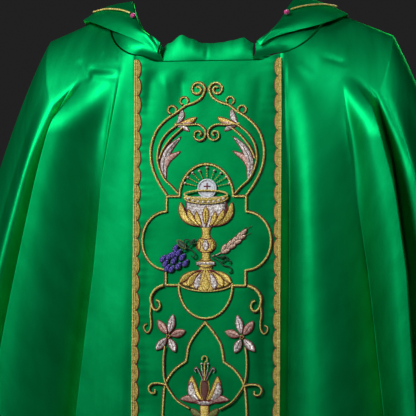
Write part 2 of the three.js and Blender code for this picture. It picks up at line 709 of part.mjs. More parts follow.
// The band's top edge above the neck edge, from its middle (0) to its end (1).
function bandRise(share) {
  if (share < BAND_PEAK_SHARE) {
    return BAND_MIDDLE_RISE + (BAND_PEAK_RISE - BAND_MIDDLE_RISE) * smooth(share / BAND_PEAK_SHARE);
  }
  const past = smooth((share - BAND_PEAK_SHARE) / (1 - BAND_PEAK_SHARE));
  return BAND_PEAK_RISE + (BAND_END_RISE - BAND_PEAK_RISE) * past;
}

// The band across the front of the neck: its top edge dips in the middle.
function collarBand() {
  const half = BAND_HALF - 3;
  const surface = (across, down) => {
    const x = half * (2 * across - 1);
    const share = Math.abs(x) / half;
    const height = bandRise(share);
    const foot = panelPoint(FRONT, x, 0);
    const up = 1 - down;
    return new THREE.Vector3(x, foot.y + COLLAR_GAP + CLOTH + 9 * up * up, foot.z + COLLAR_GAP + height * up);
  };
  return sheet(16, 4, surface, -1);
}


function collarCord(side) {
  const points = [0.14, 0.3, 0.46, 0.62, 0.8].map((down, i) => {
    const point = fallPoint(GEM_SHARE + 0.09 + 0.07 * i, down);
    return new THREE.Vector3(side * point.x, point.y, point.z + TRIM_GAP + 3);
  });
  const section = new THREE.Shape(arc(new THREE.Vector2(0, 0), 1.3, 1.3, 0, 315, 7));
  const path = new THREE.CatmullRomCurve3(points);
  return new THREE.ExtrudeGeometry(section, { steps: 10, extrudePath: path, bevelEnabled: false });
}

function collarGem(side) {
  const place = fallPoint(GEM_SHARE, GEM_DOWN);
  const geometry = new THREE.SphereGeometry(GEM_RADIUS, 8, 5);
  return geometry.translate(side * place.x, place.y - 1, place.z + GEM_RADIUS + TRIM_GAP + 1);
}

// ---- Assembly ----

const chasuble = new THREE.Group();

// A group whose x runs across a centre panel, y up it and z out of it.
function panelGroup(face) {
  const group = new THREE.Group();
  const top = panelPoint(face, 0, 0);
  const up = top.clone().sub(panelPoint(face, 0, panelLength(face))).normalize();
  const across = new THREE.Vector3(-face.sign, 0, 0);
  group.setRotationFromMatrix(new THREE.Matrix4().makeBasis(across, up, across.clone().cross(up)));
  group.position.copy(top);
  chasuble.add(group);
  return group;
}

const front = panelGroup(FRONT);
const back = panelGroup(BACK);
const sides = [[-1, 'left'], [1, 'right']];

front.add(named('front_centre_panel', centrePanel(FRONT), satin()));
back.add(named('back_centre_panel', centrePanel(BACK), satin()));
for (const [side, word] of sides) {
  chasuble.add(named(`front_side_panel_${word}`, sidePanel(FRONT, side), satin()));
  chasuble.add(named(`back_side_panel_${word}`, sidePanel(BACK, side), satin()));
  front.add(named(`front_braid_${word}`, braid(FRONT, side), gold()));
  front.add(named(`front_edge_cord_${word}`, edgeCord(FRONT, side), gold()));
  back.add(named(`back_braid_${word}`, braid(BACK, -side), gold()));
  back.add(named(`back_edge_cord_${word}`, edgeCord(BACK, -side), gold()));
  chasuble.add(named(`collar_cord_${word}`, collarCord(side), gold()));
  chasuble.add(named(`collar_gem_${word}`, collarGem(side), pink()));
  front.add(motif(`upper_scroll_${word}`, upperScroll(side), gold()));
  front.add(motif(`inner_stem_${word}`, innerStem(side), gold()));
  front.add(motif(`lily_${word}`, lily(side), silver()));
  front.add(motif(`leaf_${word}`, leaf(side), silver()));
  front.add(motif(`corner_scroll_${word}`, cornerScroll(side), gold()));
  front.add(motif(`small_flower_${word}`, smallFlower(side), silver()));
  front.add(motif(`flower_stem_${word}`, flowerStem(side), gold()));
}

chasuble.add(named('collar_front_band', collarBand(), satin()));
chasuble.add(named('collar_stand', collarStand(), satin()));
chasuble.add(named('collar_fall', collarFall(), satin()));

front.add(motif('quatrefoil_cord', quatrefoil(0), gold()));
front.add(motif('ogee_cord', ogee(), gold()));
front.add(motif('tulip', tulip(), gold()));
front.add(motif('tulip_stamens', stamens(), silver()));
front.add(motif('chalice_cup', chaliceCup(), gold()));
front.add(motif('chalice_rim', chaliceRim(), gold()));
front.add(motif('pearl_row', pearlRow(), white()));
front.add(motif('chalice_stem', chaliceStem(), gold()));
front.add(motif('chalice_foot', chaliceFoot(), gold()));
front.add(motif('host', raise(oval(HOST_CENTRE, HOST_RADIUS, HOST_RADIUS, 20), 2), white()));
front.add(motif('host_rays', rays(), gold()));
front.add(motif('grape_cluster', grapes(), violet()));
front.add(motif('grape_vine', vine(), vineGreen()));
front.add(motif('wheat_ear', wheatEar(), beige()));
front.add(motif('wheat_tendril', tendril(), vineGreen()));
back.add(motif('back_quatrefoil_cord', quatrefoil(BACK_EMBLEM_SHIFT), gold()));
back.add(motif('back_cross', backCross(), gold()));

export default chasuble;
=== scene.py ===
"""A green satin chasuble: draped panels, a turned-over collar, gold braids and an embroidered front."""
import math

import bpy
import numpy as np
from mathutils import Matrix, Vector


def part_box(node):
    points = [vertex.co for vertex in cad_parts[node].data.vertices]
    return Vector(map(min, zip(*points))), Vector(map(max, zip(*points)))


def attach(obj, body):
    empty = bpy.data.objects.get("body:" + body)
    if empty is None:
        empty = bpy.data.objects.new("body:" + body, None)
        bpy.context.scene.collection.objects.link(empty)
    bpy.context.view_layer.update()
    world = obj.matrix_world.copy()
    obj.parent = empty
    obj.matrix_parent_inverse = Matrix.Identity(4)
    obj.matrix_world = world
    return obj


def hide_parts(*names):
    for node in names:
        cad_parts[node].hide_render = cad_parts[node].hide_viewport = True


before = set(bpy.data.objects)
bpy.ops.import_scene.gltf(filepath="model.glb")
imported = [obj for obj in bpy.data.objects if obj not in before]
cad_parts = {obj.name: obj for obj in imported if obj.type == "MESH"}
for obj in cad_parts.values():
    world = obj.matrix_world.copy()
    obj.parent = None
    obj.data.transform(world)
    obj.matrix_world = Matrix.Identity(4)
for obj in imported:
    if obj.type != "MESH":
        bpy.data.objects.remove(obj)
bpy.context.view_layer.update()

MM = 0.001  # the shapes below are worked out in millimetres


def box_mm(node):
    low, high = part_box(node)
    return np.array(low) / MM, np.array(high) / MM


# ---- Sizes, from the frame where a node gives them ----
front_low, front_high = box_mm("front_centre_panel")
back_low, back_high = box_mm("back_centre_panel")
_, side_high = box_mm("front_side_panel_right")

PANEL_HALF = (front_high[0] - front_low[0]) / 2 + 0.5
NECK_CORNER_RISE = 9.0
NECK_STRAIGHT_HALF = 70.0
NECK_HALF_DEPTH = 97.0
NECK_HALF_WIDTH = 155.0
NECK_SIDE_DROP = 14.0
SHOULDER_HALF_WIDTH = 247.0
SHOULDER_DROP = 52.0
SEAM_BEND = (73.0, -133.0)
SIDE_HALF_WIDTH = side_high[0]
SIDE_DROP = 600.0
HEM_HALF_DEPTH = -front_low[1]
LEVEL_LIFT = 1.6
CLOTH = 1.2

FRONT = {"sign": -1, "neck": -front_high[2] + NECK_CORNER_RISE, "hem": -front_low[2]}
BACK = {"sign": 1, "neck": -back_high[2] + NECK_CORNER_RISE, "hem": -back_low[2]}


def smooth(share):
    share = np.clip(share, 0, 1)
    return share * share * (3 - 2 * share)


def unit(vectors):
    return vectors / np.maximum(np.linalg.norm(vectors, axis=-1, keepdims=True), 1e-9)


# ---- Cloth surfaces ----
def panel_length(face):
    return math.hypot(face["hem"] - face["neck"], HEM_HALF_DEPTH - NECK_HALF_DEPTH)


def panel_base(face, x, down):
    share = down / panel_length(face)
    y = face["sign"] * (NECK_HALF_DEPTH + (HEM_HALF_DEPTH - NECK_HALF_DEPTH) * share)
    z = -face["neck"] - (face["hem"] - face["neck"]) * share
    return np.stack(np.broadcast_arrays(x, y, z), axis=-1).astype(float)


def panel_normal(face):
    down = panel_base(face, 0.0, 1.0) - panel_base(face, 0.0, 0.0)
    return unit(np.cross([-face["sign"], 0, 0], -down))


# Soft wrinkles of a centre panel: [x, top, foot, height, half width].
PANEL_WRINKLES = [
    [-80, 6, 95, -2.4, 9.0],
    [-58, 10, 80, 2.2, 8.0],
    [-38, 8, 74, -2.6, 8.0],
    [-12, 10, 90, 0.9, 9.0],
    [14, 8, 80, -0.8, 9.0],
    [50, 10, 66, 0.8, 9.0],
    [70, 14, 100, -0.9, 8.0],
    [-84, 220, 520, -0.9, 8.0],
    [84, 240, 560, -0.9, 8.0],
]


SEAM_ROOM = {-1: 62.0, 1: 46.0}  # how wide a strip of the front panel dips toward the seam on each side


def panel_relief(face, x, down):
    height = 0.7 * np.sin(x / 31 + down / 190 + 0.6) * np.sin(down / 83 + 0.4)
    height = height + 0.35 * np.sin(x / 13 + 1.3 * np.sin(down / 47)) * np.sin(down / 29 + x / 60)
    if face["sign"] < 0:
        for line, top, foot, tall, half in PANEL_WRINKLES:
            ends = smooth((down - top) / 24) * smooth((foot - down) / 50)
            drift = line + 3 * np.sin(down / 26 + line)
            height = height + tall * ends * np.exp(-(((x - drift) / half) ** 2))
        for side, room in SEAM_ROOM.items():
            near = smooth((side * x - PANEL_HALF + room) / room)
            height = height - seam_depth(face, side, down + face["neck"]) * near
    seam = np.exp(-(PANEL_HALF - np.abs(x)) / 9)
    pucker = 0.35 * np.sin(down / 2.1 + 1.7 * np.sin(down / 9.3)) * seam
    sag = -1.2 * np.exp(-(((PANEL_HALF - np.abs(x)) / 7) ** 2))
    return height + pucker + sag


def panel_point(face, x, down, height):
    lift = height + panel_relief(face, x, down)
    return panel_base(face, x, down) + lift[..., None] * panel_normal(face)


def side_seam():
    start = np.array([NECK_HALF_WIDTH, -NECK_SIDE_DROP])
    tip = np.array([SHOULDER_HALF_WIDTH, -SHOULDER_DROP])
    bend = tip + SEAM_BEND
    end = np.array([SIDE_HALF_WIDTH, -SIDE_DROP])
    t = np.linspace(0, 1, 200)[:, None]
    line = start + (tip - start) * t
    curve = (1 - t) ** 2 * tip + 2 * t * (1 - t) * bend + t**2 * end
    points = np.concatenate([line[:-1], curve])
    gone = np.concatenate([[0], np.cumsum(np.linalg.norm(np.diff(points, axis=0), axis=1))])
    return gone / gone[-1], points


SEAM_SHARE, SEAM_POINTS = side_seam()

# The run of a side panel's section from the centre panel outwards, one fold line to a row:
# [x at each of SECTION_DROPS, depth behind the centre panel, drop where it starts, drop over which it
# grows, ease of the stretch that ends there].
SECTION_DROPS = (146.0, 256.0, 378.0, 570.0)
SECTION_LEFT = [
    [(129.0, 147.0, 155.0, 176.0), 8, 60, 300, "soft"],
    [(136.0, 155.0, 164.0, 186.0), 40, 60, 420, "soft"],
    [(240.0, 258.0, 275.0, 294.0), -6, 110, 80, "out"],
    [(248.0, 266.0, 283.0, 302.0), 44, 110, 90, "soft"],
    [(274.0, 296.0, 314.0, 334.0), 20, 110, 150, "out"],
]
SECTION_RIGHT = [
    [(112.0, 113.0, 113.0, 112.0), 16, 60, 300, "soft"],
    [(138.0, 141.8, 149.9, 159.4), -8, 60, 300, "out"],
    [(184.0, 200.0, 218.0, 240.0), 36, 130, 330, "in"],
    [(236.0, 250.0, 268.0, 282.0), -4, 110, 90, "out"],
    [(243.0, 258.0, 276.0, 290.0), 44, 110, 90, "soft"],
    [(272.0, 290.0, 308.0, 326.0), 20, 110, 150, "out"],
]
SECTION_BACK = [
    [(108.0, 109.0, 110.0, 112.0), 6, 90, 200, "soft"],
    [(134.0, 140.0, 150.0, 164.0), -3, 90, 200, "out"],
    [(168.0, 184.0, 200.0, 222.0), 28, 90, 300, "in"],
    [(214.0, 226.0, 244.0, 266.0), 0, 60, 200, "out"],
    [(222.0, 234.0, 253.0, 276.0), 40, 60, 200, "soft"],
    [(262.0, 280.0, 300.0, 326.0), 14, 60, 200, "out"],
]
SEAM_DROP = {(-1, -1): 3.0, (-1, 1): 3.5, (1, -1): 0.0, (1, 1): 0.0}  # (face's sign, side): its depth
FOLD_LIMIT = (0.66, 0.055)  # how near the side seam the first fold line may lie, and the step to the next
SHARP_FOLD = 20  # a fold this much deeper than the last one, within TUCK_SPAN of it, is tucked under
TUCK_SPAN = 16


def seam_depth(face, side, drop):
    """How far the seam beside a centre panel sinks below it."""
    return SEAM_DROP[(face["sign"], side)] * smooth((drop - 90) / 120)


def section_line(values, drop):
    """x at each drop of a fold line given at SECTION_DROPS, going straight on above and below them."""
    first, second, third, fourth = SECTION_DROPS
    above = values[0] + (drop - first) * (values[1] - values[0]) / (second - first)
    below = values[3] + (drop - fourth) * (values[3] - values[2]) / (fourth - third)
    inside = np.interp(drop, SECTION_DROPS, values)
    return np.where(drop < first, above, np.where(drop > fourth, below, inside))


def eased(share, ease):
    """The way a fold turns: soft at both ends, or sharp where it ends ("in") or starts ("out")."""
    share = np.clip(share, 0, 1)
    if ease == "soft":
        return smooth(share)
    return share**2 if ease == "in" else 1 - (1 - share) ** 2


def section_depth(face, side, x, drop, rounded, seam_x):
    """Depth behind the centre panel, from the rounded section without folds, and the sideways shift."""
    if face["sign"] > 0:
        section = SECTION_BACK
    else:
        section = SECTION_LEFT if side < 0 else SECTION_RIGHT
    reach = np.maximum(seam_x - PANEL_HALF, 1)
    growth = 1 + 0.25 * smooth((drop - 500) / 600)
    last_x = np.full_like(x, PANEL_HALF)
    last_fold = seam_depth(face, side, drop)
    last_weight = np.ones_like(x)
    fold, weight, shift = last_fold + 0 * x, np.ones_like(x), np.zeros_like(x)
    for place, (values, behind, start, span, ease) in enumerate(section):
        limit = PANEL_HALF + reach * (FOLD_LIMIT[0] + FOLD_LIMIT[1] * place)
        line = np.minimum(section_line(values, drop), limit)
        fold_here, weight_here = behind * growth, smooth((drop - start) / span)
        inside = (x > last_x) & (x <= line)
        along = eased((x - last_x) / np.maximum(line - last_x, 0.1), ease)
        fold = np.where(inside, last_fold + (fold_here - last_fold) * along, fold)
        weight = np.where(inside, last_weight + (weight_here - last_weight) * along, weight)
        sharp = (fold_here - last_fold) > SHARP_FOLD
        tuck = np.where(sharp & (line - last_x < TUCK_SPAN), weight_here, 0)
        shift += tuck * 4.5 * (np.exp(-(((x - last_x) / 5) ** 2)) - np.exp(-(((x - line) / 5) ** 2)))
        last_x, last_fold, last_weight = line, fold_here, weight_here
    away = smooth((x - last_x) / np.maximum(0.6 * (seam_x - last_x), 10))
    fold = np.where(x > last_x, last_fold, fold)
    weight = np.where(x > last_x, last_weight * (1 - away), weight)
    return np.minimum(rounded * (1 - weight) + fold * weight, NECK_HALF_DEPTH), shift


# Short creases of the front: [x, drop] of both ends, height and half width. Negative x is the left panel.
CREASES = [
    [-180, 97, -118, 103, -2.2, 5.0],
    [-176, 106, -122, 112, 1.6, 6.0],
    [-158, 74, -126, 88, -1.8, 4.0],
    [-196, 82, -168, 118, -1.6, 6.0],
    [150, 84, 190, 96, -1.4, 5.0],
    [120, 92, 150, 118, -1.2, 6.0],
]


def soft_waves(x, z, seed):
    """The slight unevenness of hanging cloth."""
    waves = 0.7 * np.sin(x / 31 + z / 190 + seed) * np.sin(z / 115 + seed * 2)
    waves += 0.3 * np.sin(x / 15.5 - z / 120 + 2 * seed + np.sin(z / 70)) * np.sin(z / 61 + x / 90)
    waves += 0.12 * np.sin(x / 8.3 + z / 64 + seed) * np.sin(z / 38 - seed)
    return waves


def crease_height(x, z):
    height = np.zeros_like(x)
    for x0, drop0, x1, drop1, tall, half in CREASES:
        start, end = np.array([x0, -drop0]), np.array([x1, -drop1])
        along = end - start
        share = ((x - x0) * along[0] + (z + drop0) * along[1]) / (along @ along)
        away = np.hypot(x - (x0 + share * along[0]), z - (-drop0 + share * along[1]))
        height += tall * smooth(share / 0.25) * smooth((1 - share) / 0.25) * np.exp(-((away / half) ** 2))
    return height


def side_point(face, side, across, level):
    """A side panel: level goes from the neck to the hem, across from the centre panel to the side seam."""
    seam_x = np.interp(level, SEAM_SHARE, SEAM_POINTS[:, 0])
    seam_z = np.interp(level, SEAM_SHARE, SEAM_POINTS[:, 1])
    inner = PANEL_HALF
    down = level * (panel_length(face) + NECK_CORNER_RISE) - NECK_CORNER_RISE
    edge = panel_base(face, inner, down)
    front = np.abs(edge[..., 1])
    turn = across * np.pi / 2
    x = inner + (seam_x - inner) * np.sin(turn)
    z = edge[..., 2] + (seam_z - edge[..., 2]) * across**LEVEL_LIFT
    flatter = 2 + 1.2 * smooth(level / 0.2)
    rounded = front * (1 - (1 - np.sin(turn) ** flatter) ** (1 / flatter))
    depth, shift = section_depth(face, side, x, -z, rounded, seam_x)
    fade = smooth((1 - across) / 0.16) * smooth(level / 0.06)
    ripple = soft_waves(x, z, 1.7 + side + 0.8 * face["sign"]) * smooth(across / 0.05)
    if face["sign"] < 0:
        ripple = ripple + crease_height(side * x, z) * smooth(across / 0.05)
    stitched = 1.2 * np.exp(-((across / 0.03) ** 2))
    depth = rounded + (depth - rounded) * fade + stitched
    y = front - depth + ripple * fade * np.cos(turn)
    return np.stack([side * (x + shift * fade + ripple * fade * np.sin(turn)), face["sign"] * y, z], axis=-1)


# ---- Collar surfaces ----
# A share runs from a front corner (0) over the shoulder (1) to the middle of the back (2).
BAND_HALF = 64.0
BAND_TOP_AT = (-64.0, -56.0, -38.0, -24.0, -10.0, 4.0, 18.0, 32.0, 48.0, 60.0, 64.0)
BAND_TOP = (20.0, 25.0, 36.0, 30.5, 24.5, 24.0, 25.0, 27.5, 31.0, 24.0, 21.0)
COLLAR_STATIONS = (0, 0.4, 1, 2)
ROLL_RISE = (21.0, 37.0, 20.0, 18.0)
ROLL_LEAN = (1.0, 33.0, 35.0, 22.0)
FALL_OUT = (8.0, 26.0, 66.0, 34.0)
FALL_DROP = (8.0, 15.0, 28.0, 30.0)
ROLL_GAP = 3.2
COLLAR_GAP = 1.5
CORNER_SHARE = 0.16
BACK_SHARE = 0.55


def blend(share, values):
    """The value at a share of the collar's run, between the values at its stations."""
    place = int(np.clip(np.searchsorted(COLLAR_STATIONS, share), 1, 3))
    start, end = COLLAR_STATIONS[place - 1], COLLAR_STATIONS[place]
    along = float(smooth((share - start) / (end - start)))
    return values[place - 1] + (values[place] - values[place - 1]) * along


def side_base(face, across):
    """The neck edge's run beside a centre panel."""
    inner = PANEL_HALF
    edge = panel_base(face, inner, -NECK_CORNER_RISE)
    turn = across * math.pi / 2
    x = inner + (NECK_HALF_WIDTH - inner) * math.sin(turn)
    z = edge[2] + (-NECK_SIDE_DROP - edge[2]) * across**LEVEL_LIFT
    return np.array([x, edge[1] * math.cos(turn), z])


def neck_edge(share):
    straight = CORNER_SHARE if share <= 1 else BACK_SHARE
    if share < straight:
        x = BAND_HALF + (PANEL_HALF - BAND_HALF) * share / straight
        rise = NECK_CORNER_RISE * float(smooth((x - BAND_HALF) / (PANEL_HALF - BAND_HALF)))
        return panel_base(FRONT, x, -rise)
    if share <= 1:
        return side_base(FRONT, (share - straight) / (1 - straight))
    if share > 2 - straight:
        return panel_base(BACK, PANEL_HALF * (2 - share) / straight, 0)
    return side_base(BACK, (2 - straight - share) / (1 - straight))


def moved_out(point, distance):
    plan = point[:2]
    return plan * (np.linalg.norm(plan) + distance) / np.linalg.norm(plan)


# Where the two front wings of the collar lie: along the roll and along the outer edge, from the corner
# outwards. The left wing is -1.
WING_STATIONS = (0.0, 0.12, 0.32, 0.6, 0.82, 1.0)
WING_ROLL = {
    -1: [(-64, -97, -69), (-75, -92, -60), (-88, -84, -51),
         (-102, -68, -35), (-112, -45, -17), (-120, -20, -2)],
    1: [(66, -97, -69), (78, -92, -60), (87, -84, -50), (96, -65, -34), (102, -42, -16), (108, -20, -1)],
}
WING_EDGE = {
    -1: [(-69, -104, -80), (-82, -100, -71), (-108, -88, -58),
         (-144, -62, -43), (-172, -36, -31), (-197, -6, -22)],
    1: [(74, -104, -72), (86, -100, -63), (112, -86, -53), (144, -60, -42), (168, -34, -31), (184, -8, -21)],
}


def wing_point(points, share):
    """A point of a wing's roll or edge, run smoothly through the given places."""
    table = np.array(points, float)
    place = float(np.interp(share, WING_STATIONS, range(len(table))))
    i = min(int(place), len(table) - 2)
    part = place - i
    before, after = table[max(i - 1, 0)], table[min(i + 2, len(table) - 1)]
    start, end = table[i], table[i + 1]
    lean_in, lean_out = (end - before) / 2, (after - start) / 2
    return ((1 + 2 * part) * (1 - part) ** 2 * start + part * (1 - part) ** 2 * lean_in
            + part**2 * (3 - 2 * part) * end + part**2 * (part - 1) * lean_out)


def with_wing(formula, table, side, share):
    """The wing's own line in front, passing into the even line behind the shoulder."""
    if share <= 1:
        return wing_point(table[side], share) * [side, 1, 1]
    missed = wing_point(table[side], 1.0) * [side, 1, 1] - formula(1.0)
    return formula(share) + missed * (1 - float(smooth((share - 1) / 0.5)))


def even_roll(share):
    """The top of the roll where it runs evenly round the neck."""
    edge = neck_edge(share)
    x, y = moved_out(edge, -blend(share, ROLL_LEAN))
    return np.array([x, y, edge[2] + blend(share, ROLL_RISE)])


def even_fall(share):
    """The fall's outer edge where it runs evenly round the neck."""
    roll = even_roll(share)
    x, y = moved_out(roll, blend(share, FALL_OUT))
    return np.array([x, y, roll[2] - blend(share, FALL_DROP)])


def roll_line(share, side):
    return with_wing(even_roll, WING_ROLL, side, share)


def stand_point(share, up, side):
    edge, roll = neck_edge(share), roll_line(share, side)
    foot = moved_out(edge, -COLLAR_GAP - CLOTH)
    plan = foot + (roll[:2] - foot) * up
    x, y = moved_out(plan, 5 * math.sin(math.pi * up))
    return np.array([x, y, edge[2] + COLLAR_GAP + (roll[2] - edge[2] - COLLAR_GAP) * up])


def fall_point(share, down, side):
    """The fall: over the roll in a close turn, then flat out to its edge."""
    roll, edge = roll_line(share, side), with_wing(even_fall, WING_EDGE, side, share)
    start = np.append(moved_out(roll, ROLL_GAP), roll[2] + ROLL_GAP)
    arch = 4.5 * math.sin(math.pi * down) * min(1.0, share / 0.2)
    return start + (edge - start) * down + np.array([0, -0.5, 1.0]) * arch


# ---- Meshes ----
class Piece:
    """Collects grids of points, each with its own material, and makes one object from them."""

    def __init__(self, name, place=None):
        self.name = name
        self.place = place
        self.points = []
        self.faces = []
        self.uvs = []
        self.slots = []
        self.materials = []
        self.count = 0

    def slot_of(self, material):
        if material not in self.materials:
            self.materials.append(material)
        return self.materials.index(material)

    def add(self, points, uvs, faces, material):
        points = points.reshape(-1, 3)
        if self.place:
            points = self.place(points)
        self.points.append(points)
        self.uvs.append(np.asarray(uvs, float).reshape(-1, 2))
        for block in faces:
            self.faces.append(block + self.count)
            self.slots.append(np.full(len(block), self.slot_of(material)))
        self.count += len(points)

    def build(self):
        points = np.concatenate(self.points) * MM
        uvs = np.concatenate(self.uvs)
        loops = np.concatenate([block.ravel() for block in self.faces])
        sizes = np.concatenate([np.full(len(block), block.shape[1]) for block in self.faces])
        mesh = bpy.data.meshes.new(self.name)
        mesh.vertices.add(len(points))
        mesh.vertices.foreach_set("co", points.ravel())
        mesh.loops.add(len(loops))
        mesh.loops.foreach_set("vertex_index", loops.astype(np.int32))
        mesh.polygons.add(len(sizes))
        starts = np.concatenate([[0], np.cumsum(sizes)[:-1]])
        mesh.polygons.foreach_set("loop_start", starts.astype(np.int32))
        mesh.polygons.foreach_set("material_index", np.concatenate(self.slots).astype(np.int32))
        mesh.update(calc_edges=True)
        layer = mesh.uv_layers.new(name="thread")
        layer.data.foreach_set("uv", uvs[loops].ravel())
        mesh.polygons.foreach_set("use_smooth", np.ones(len(sizes), bool))
        mesh.validate()
        for material in self.materials:
            mesh.materials.append(material)
        made = bpy.data.objects.new(self.name, mesh)
        bpy.context.scene.collection.objects.link(made)
        return made


def grid_faces(rows, columns, closed_rows=False, closed_columns=False, flip=False):
    i = np.arange(rows if closed_rows else rows - 1)
    j = np.arange(columns if closed_columns else columns - 1)
    i, j = np.meshgrid(i, j, indexing="ij")
    below, right = (i + 1) % rows, (j + 1) % columns
    quads = np.stack([
        i * columns + j, below * columns + j, below * columns + right, i * columns + right], -1)
    quads = quads.reshape(-1, 4)
    return quads[:, ::-1] if flip else quads


def cloth(piece, outer, uvs, outward, face_material, lining_material):
    """A closed sheet from its outer side, a rows x columns grid of points."""
    rows, columns = outer.shape[:2]
    normal = unit(np.cross(np.gradient(outer, axis=1), np.gradient(outer, axis=0))) * outward
    inner = outer - normal * CLOTH
    flip = outward < 0
    piece.add(outer, uvs, [grid_faces(rows, columns, flip=flip)], face_material)
    piece.add(inner, uvs, [grid_faces(rows, columns, flip=not flip)], lining_material)
    edge = np.concatenate([
        np.arange(columns - 1), np.arange(rows - 1) * columns + columns - 1,
        (rows - 1) * columns + np.arange(columns - 1, 0, -1), np.arange(rows - 1, 0, -1) * columns,
    ])
    rim = np.stack([outer.reshape(-1, 3)[edge], inner.reshape(-1, 3)[edge]], axis=0)
    rim_uvs = np.stack([np.asarray(uvs).reshape(-1, 2)[edge]] * 2, axis=0)
    piece.add(rim, rim_uvs, [grid_faces(2, len(edge), closed_columns=True, flip=flip)], face_material)


def resample(points, step, closed=False):
    points = np.asarray(points, float)
    if closed:
        points = np.concatenate([points, points[:1]])
    gone = np.concatenate([[0], np.cumsum(np.linalg.norm(np.diff(points, axis=0), axis=1))])
    count = max(int(round(gone[-1] / step)), 2)
    at = np.linspace(0, gone[-1], count + 1)
    if closed:
        at = at[:-1]
    return np.stack([np.interp(at, gone, points[:, k]) for k in range(points.shape[1])], -1)


def curve(points, step=1.2):
    """A smooth line through points (Catmull-Rom), evenly sampled."""
    points = np.asarray(points, float)
    padded = np.concatenate([2 * points[:1] - points[1:2], points, 2 * points[-1:] - points[-2:-1]])
    t = np.linspace(0, 1, 13)[:-1, None]
    parts = []
    for a, b, c, d in zip(padded, padded[1:], padded[2:], padded[3:]):
        slope = 2 * a - 5 * b + 4 * c - d
        parts.append(0.5 * (2 * b + (c - a) * t + slope * t**2 + (3 * b - a - 3 * c + d) * t**3))
    return resample(np.concatenate(parts + [points[-1:]]), step)


def arc(centre, radius_x, radius_y, start, end, step=1.2):
    span = abs(math.radians(end - start)) * max(radius_x, radius_y)
    angles = np.radians(np.linspace(start, end, max(int(span / step), 6) + 1))
    return np.stack([centre[0] + radius_x * np.cos(angles), centre[1] - radius_y * np.sin(angles)], -1)


def spiral(centre, inner, outer, turns, end):
    """A scroll that opens out from its middle and ends at the given angle."""
    share = np.linspace(0, 1, 70)
    angle = math.radians(end) + 2 * np.pi * turns * (1 - share)
    radius = inner + (outer - inner) * share
    return np.column_stack([centre[0] + radius * np.cos(angle), centre[1] + radius * np.sin(angle)])


def sweep(piece, centre, cross, up, section, material, closed=False):
    """Sweeps a closed section, (rows, sides, 2) offsets along cross and up, and closes open ends."""
    rows, sides = section.shape[:2]
    points = centre[:, None] + section[..., :1] * cross[:, None] + section[..., 1:] * up[:, None]
    gone = np.linalg.norm(np.diff(centre, axis=0), axis=1)
    lengths = np.concatenate([[0], np.cumsum(gone)])
    around = np.broadcast_to(section[..., 0], (rows, sides))
    uvs = np.stack([np.repeat(lengths[:, None], sides, 1), around], -1)
    faces = [grid_faces(rows, sides, closed_rows=closed, closed_columns=True)]
    points, uvs = points.reshape(-1, 3), uvs.reshape(-1, 2)
    if not closed:
        ends = np.stack([points[:sides].mean(0), points[-sides:].mean(0)])
        points = np.concatenate([points, ends])
        uvs = np.concatenate([uvs, uvs[[0, -1]]])
        ring = np.arange(sides)
        after = (ring + 1) % sides
        first = np.stack([ring, after, np.full(sides, rows * sides)], -1)
        base = (rows - 1) * sides
        last = np.stack([base + after, base + ring, np.full(sides, rows * sides + 1)], -1)
        faces += [first, last]
    piece.add(points, uvs, faces, material)


def flat_frame(path, closed):
    """The sideways direction at each point of a flat path."""
    if closed:
        tangent = unit(np.roll(path, -1, axis=0) - np.roll(path, 1, axis=0))
    else:
        tangent = unit(np.gradient(path, axis=0))
    return np.stack([tangent[:, 1], -tangent[:, 0], np.zeros(len(path))], -1)


PLIES = 2
PLY_DEPTH = 0.2  # how much the plies of a twisted cord stand out, as a share of its radius


def cord(piece, path, radius, height, material, closed=False, sides=8, twist=0.0, taper=0.0):
    """A round cord or thread along a path (x, down); twist is the pitch of its plies, 0 for a plain one."""
    path = np.asarray(path, float)
    rows = len(path)
    cross = flat_frame(path, closed)
    up = np.broadcast_to([0.0, 0.0, 1.0], cross.shape)
    centre = np.concatenate([path, np.full((rows, 1), height)], axis=1)
    angle = np.linspace(0, 2 * np.pi, sides, endpoint=False)
    gone = np.concatenate([[0], np.cumsum(np.linalg.norm(np.diff(path, axis=0), axis=1))])
    size = np.full(rows, float(radius))
    if taper:
        size = size * (1 - taper * np.linspace(0, 1, rows))
    ring = size[:, None] * np.ones(sides)
    if twist:
        turns = max(round(gone[-1] / twist), 1) / gone[-1] if closed else 1 / twist
        phase = PLIES * angle[None] - 2 * np.pi * gone[:, None] * turns
        ring = ring * (1 + PLY_DEPTH * np.cos(phase))
    section = np.stack([ring * np.cos(angle), ring * np.sin(angle)], -1)
    sweep(piece, centre, cross, up, section, material, closed)


def pad(piece, spine, halves, crown, material, base=0.2, columns=9, outline=None):
    """A padded satin-stitch shape: a domed strip around a spine, with its threads running across."""
    spine, halves = np.asarray(spine, float), np.asarray(halves, float)
    rows = len(spine)
    cross = flat_frame(spine, False)
    up = np.broadcast_to([0.0, 0.0, 1.0], cross.shape)
    centre = np.concatenate([spine, np.full((rows, 1), base)], axis=1)
    t = np.linspace(-1, 1, columns)
    dome = 0.25 + crown * np.sqrt(np.clip(1 - t**2, 0, 1))
    across = np.concatenate([t, t[::-1][1:-1]])
    rise = np.concatenate([dome, np.zeros(columns - 2)])
    narrow = np.clip(halves / 2.0, 0.35, 1)[:, None]
    section = np.stack([halves[:, None] * across, narrow * rise[None]], -1)
    sweep(piece, centre, cross, up, section[:, ::-1], material)
    if outline:
        left = spine + cross[:, :2] * halves[:, None]
        right = spine - cross[:, :2] * halves[:, None]
        edge = np.concatenate([left, right[::-1]])
        edge = resample(edge, 1.3, closed=True)
        cord(piece, edge, 0.55, base + 0.45, outline, closed=True, sides=6)


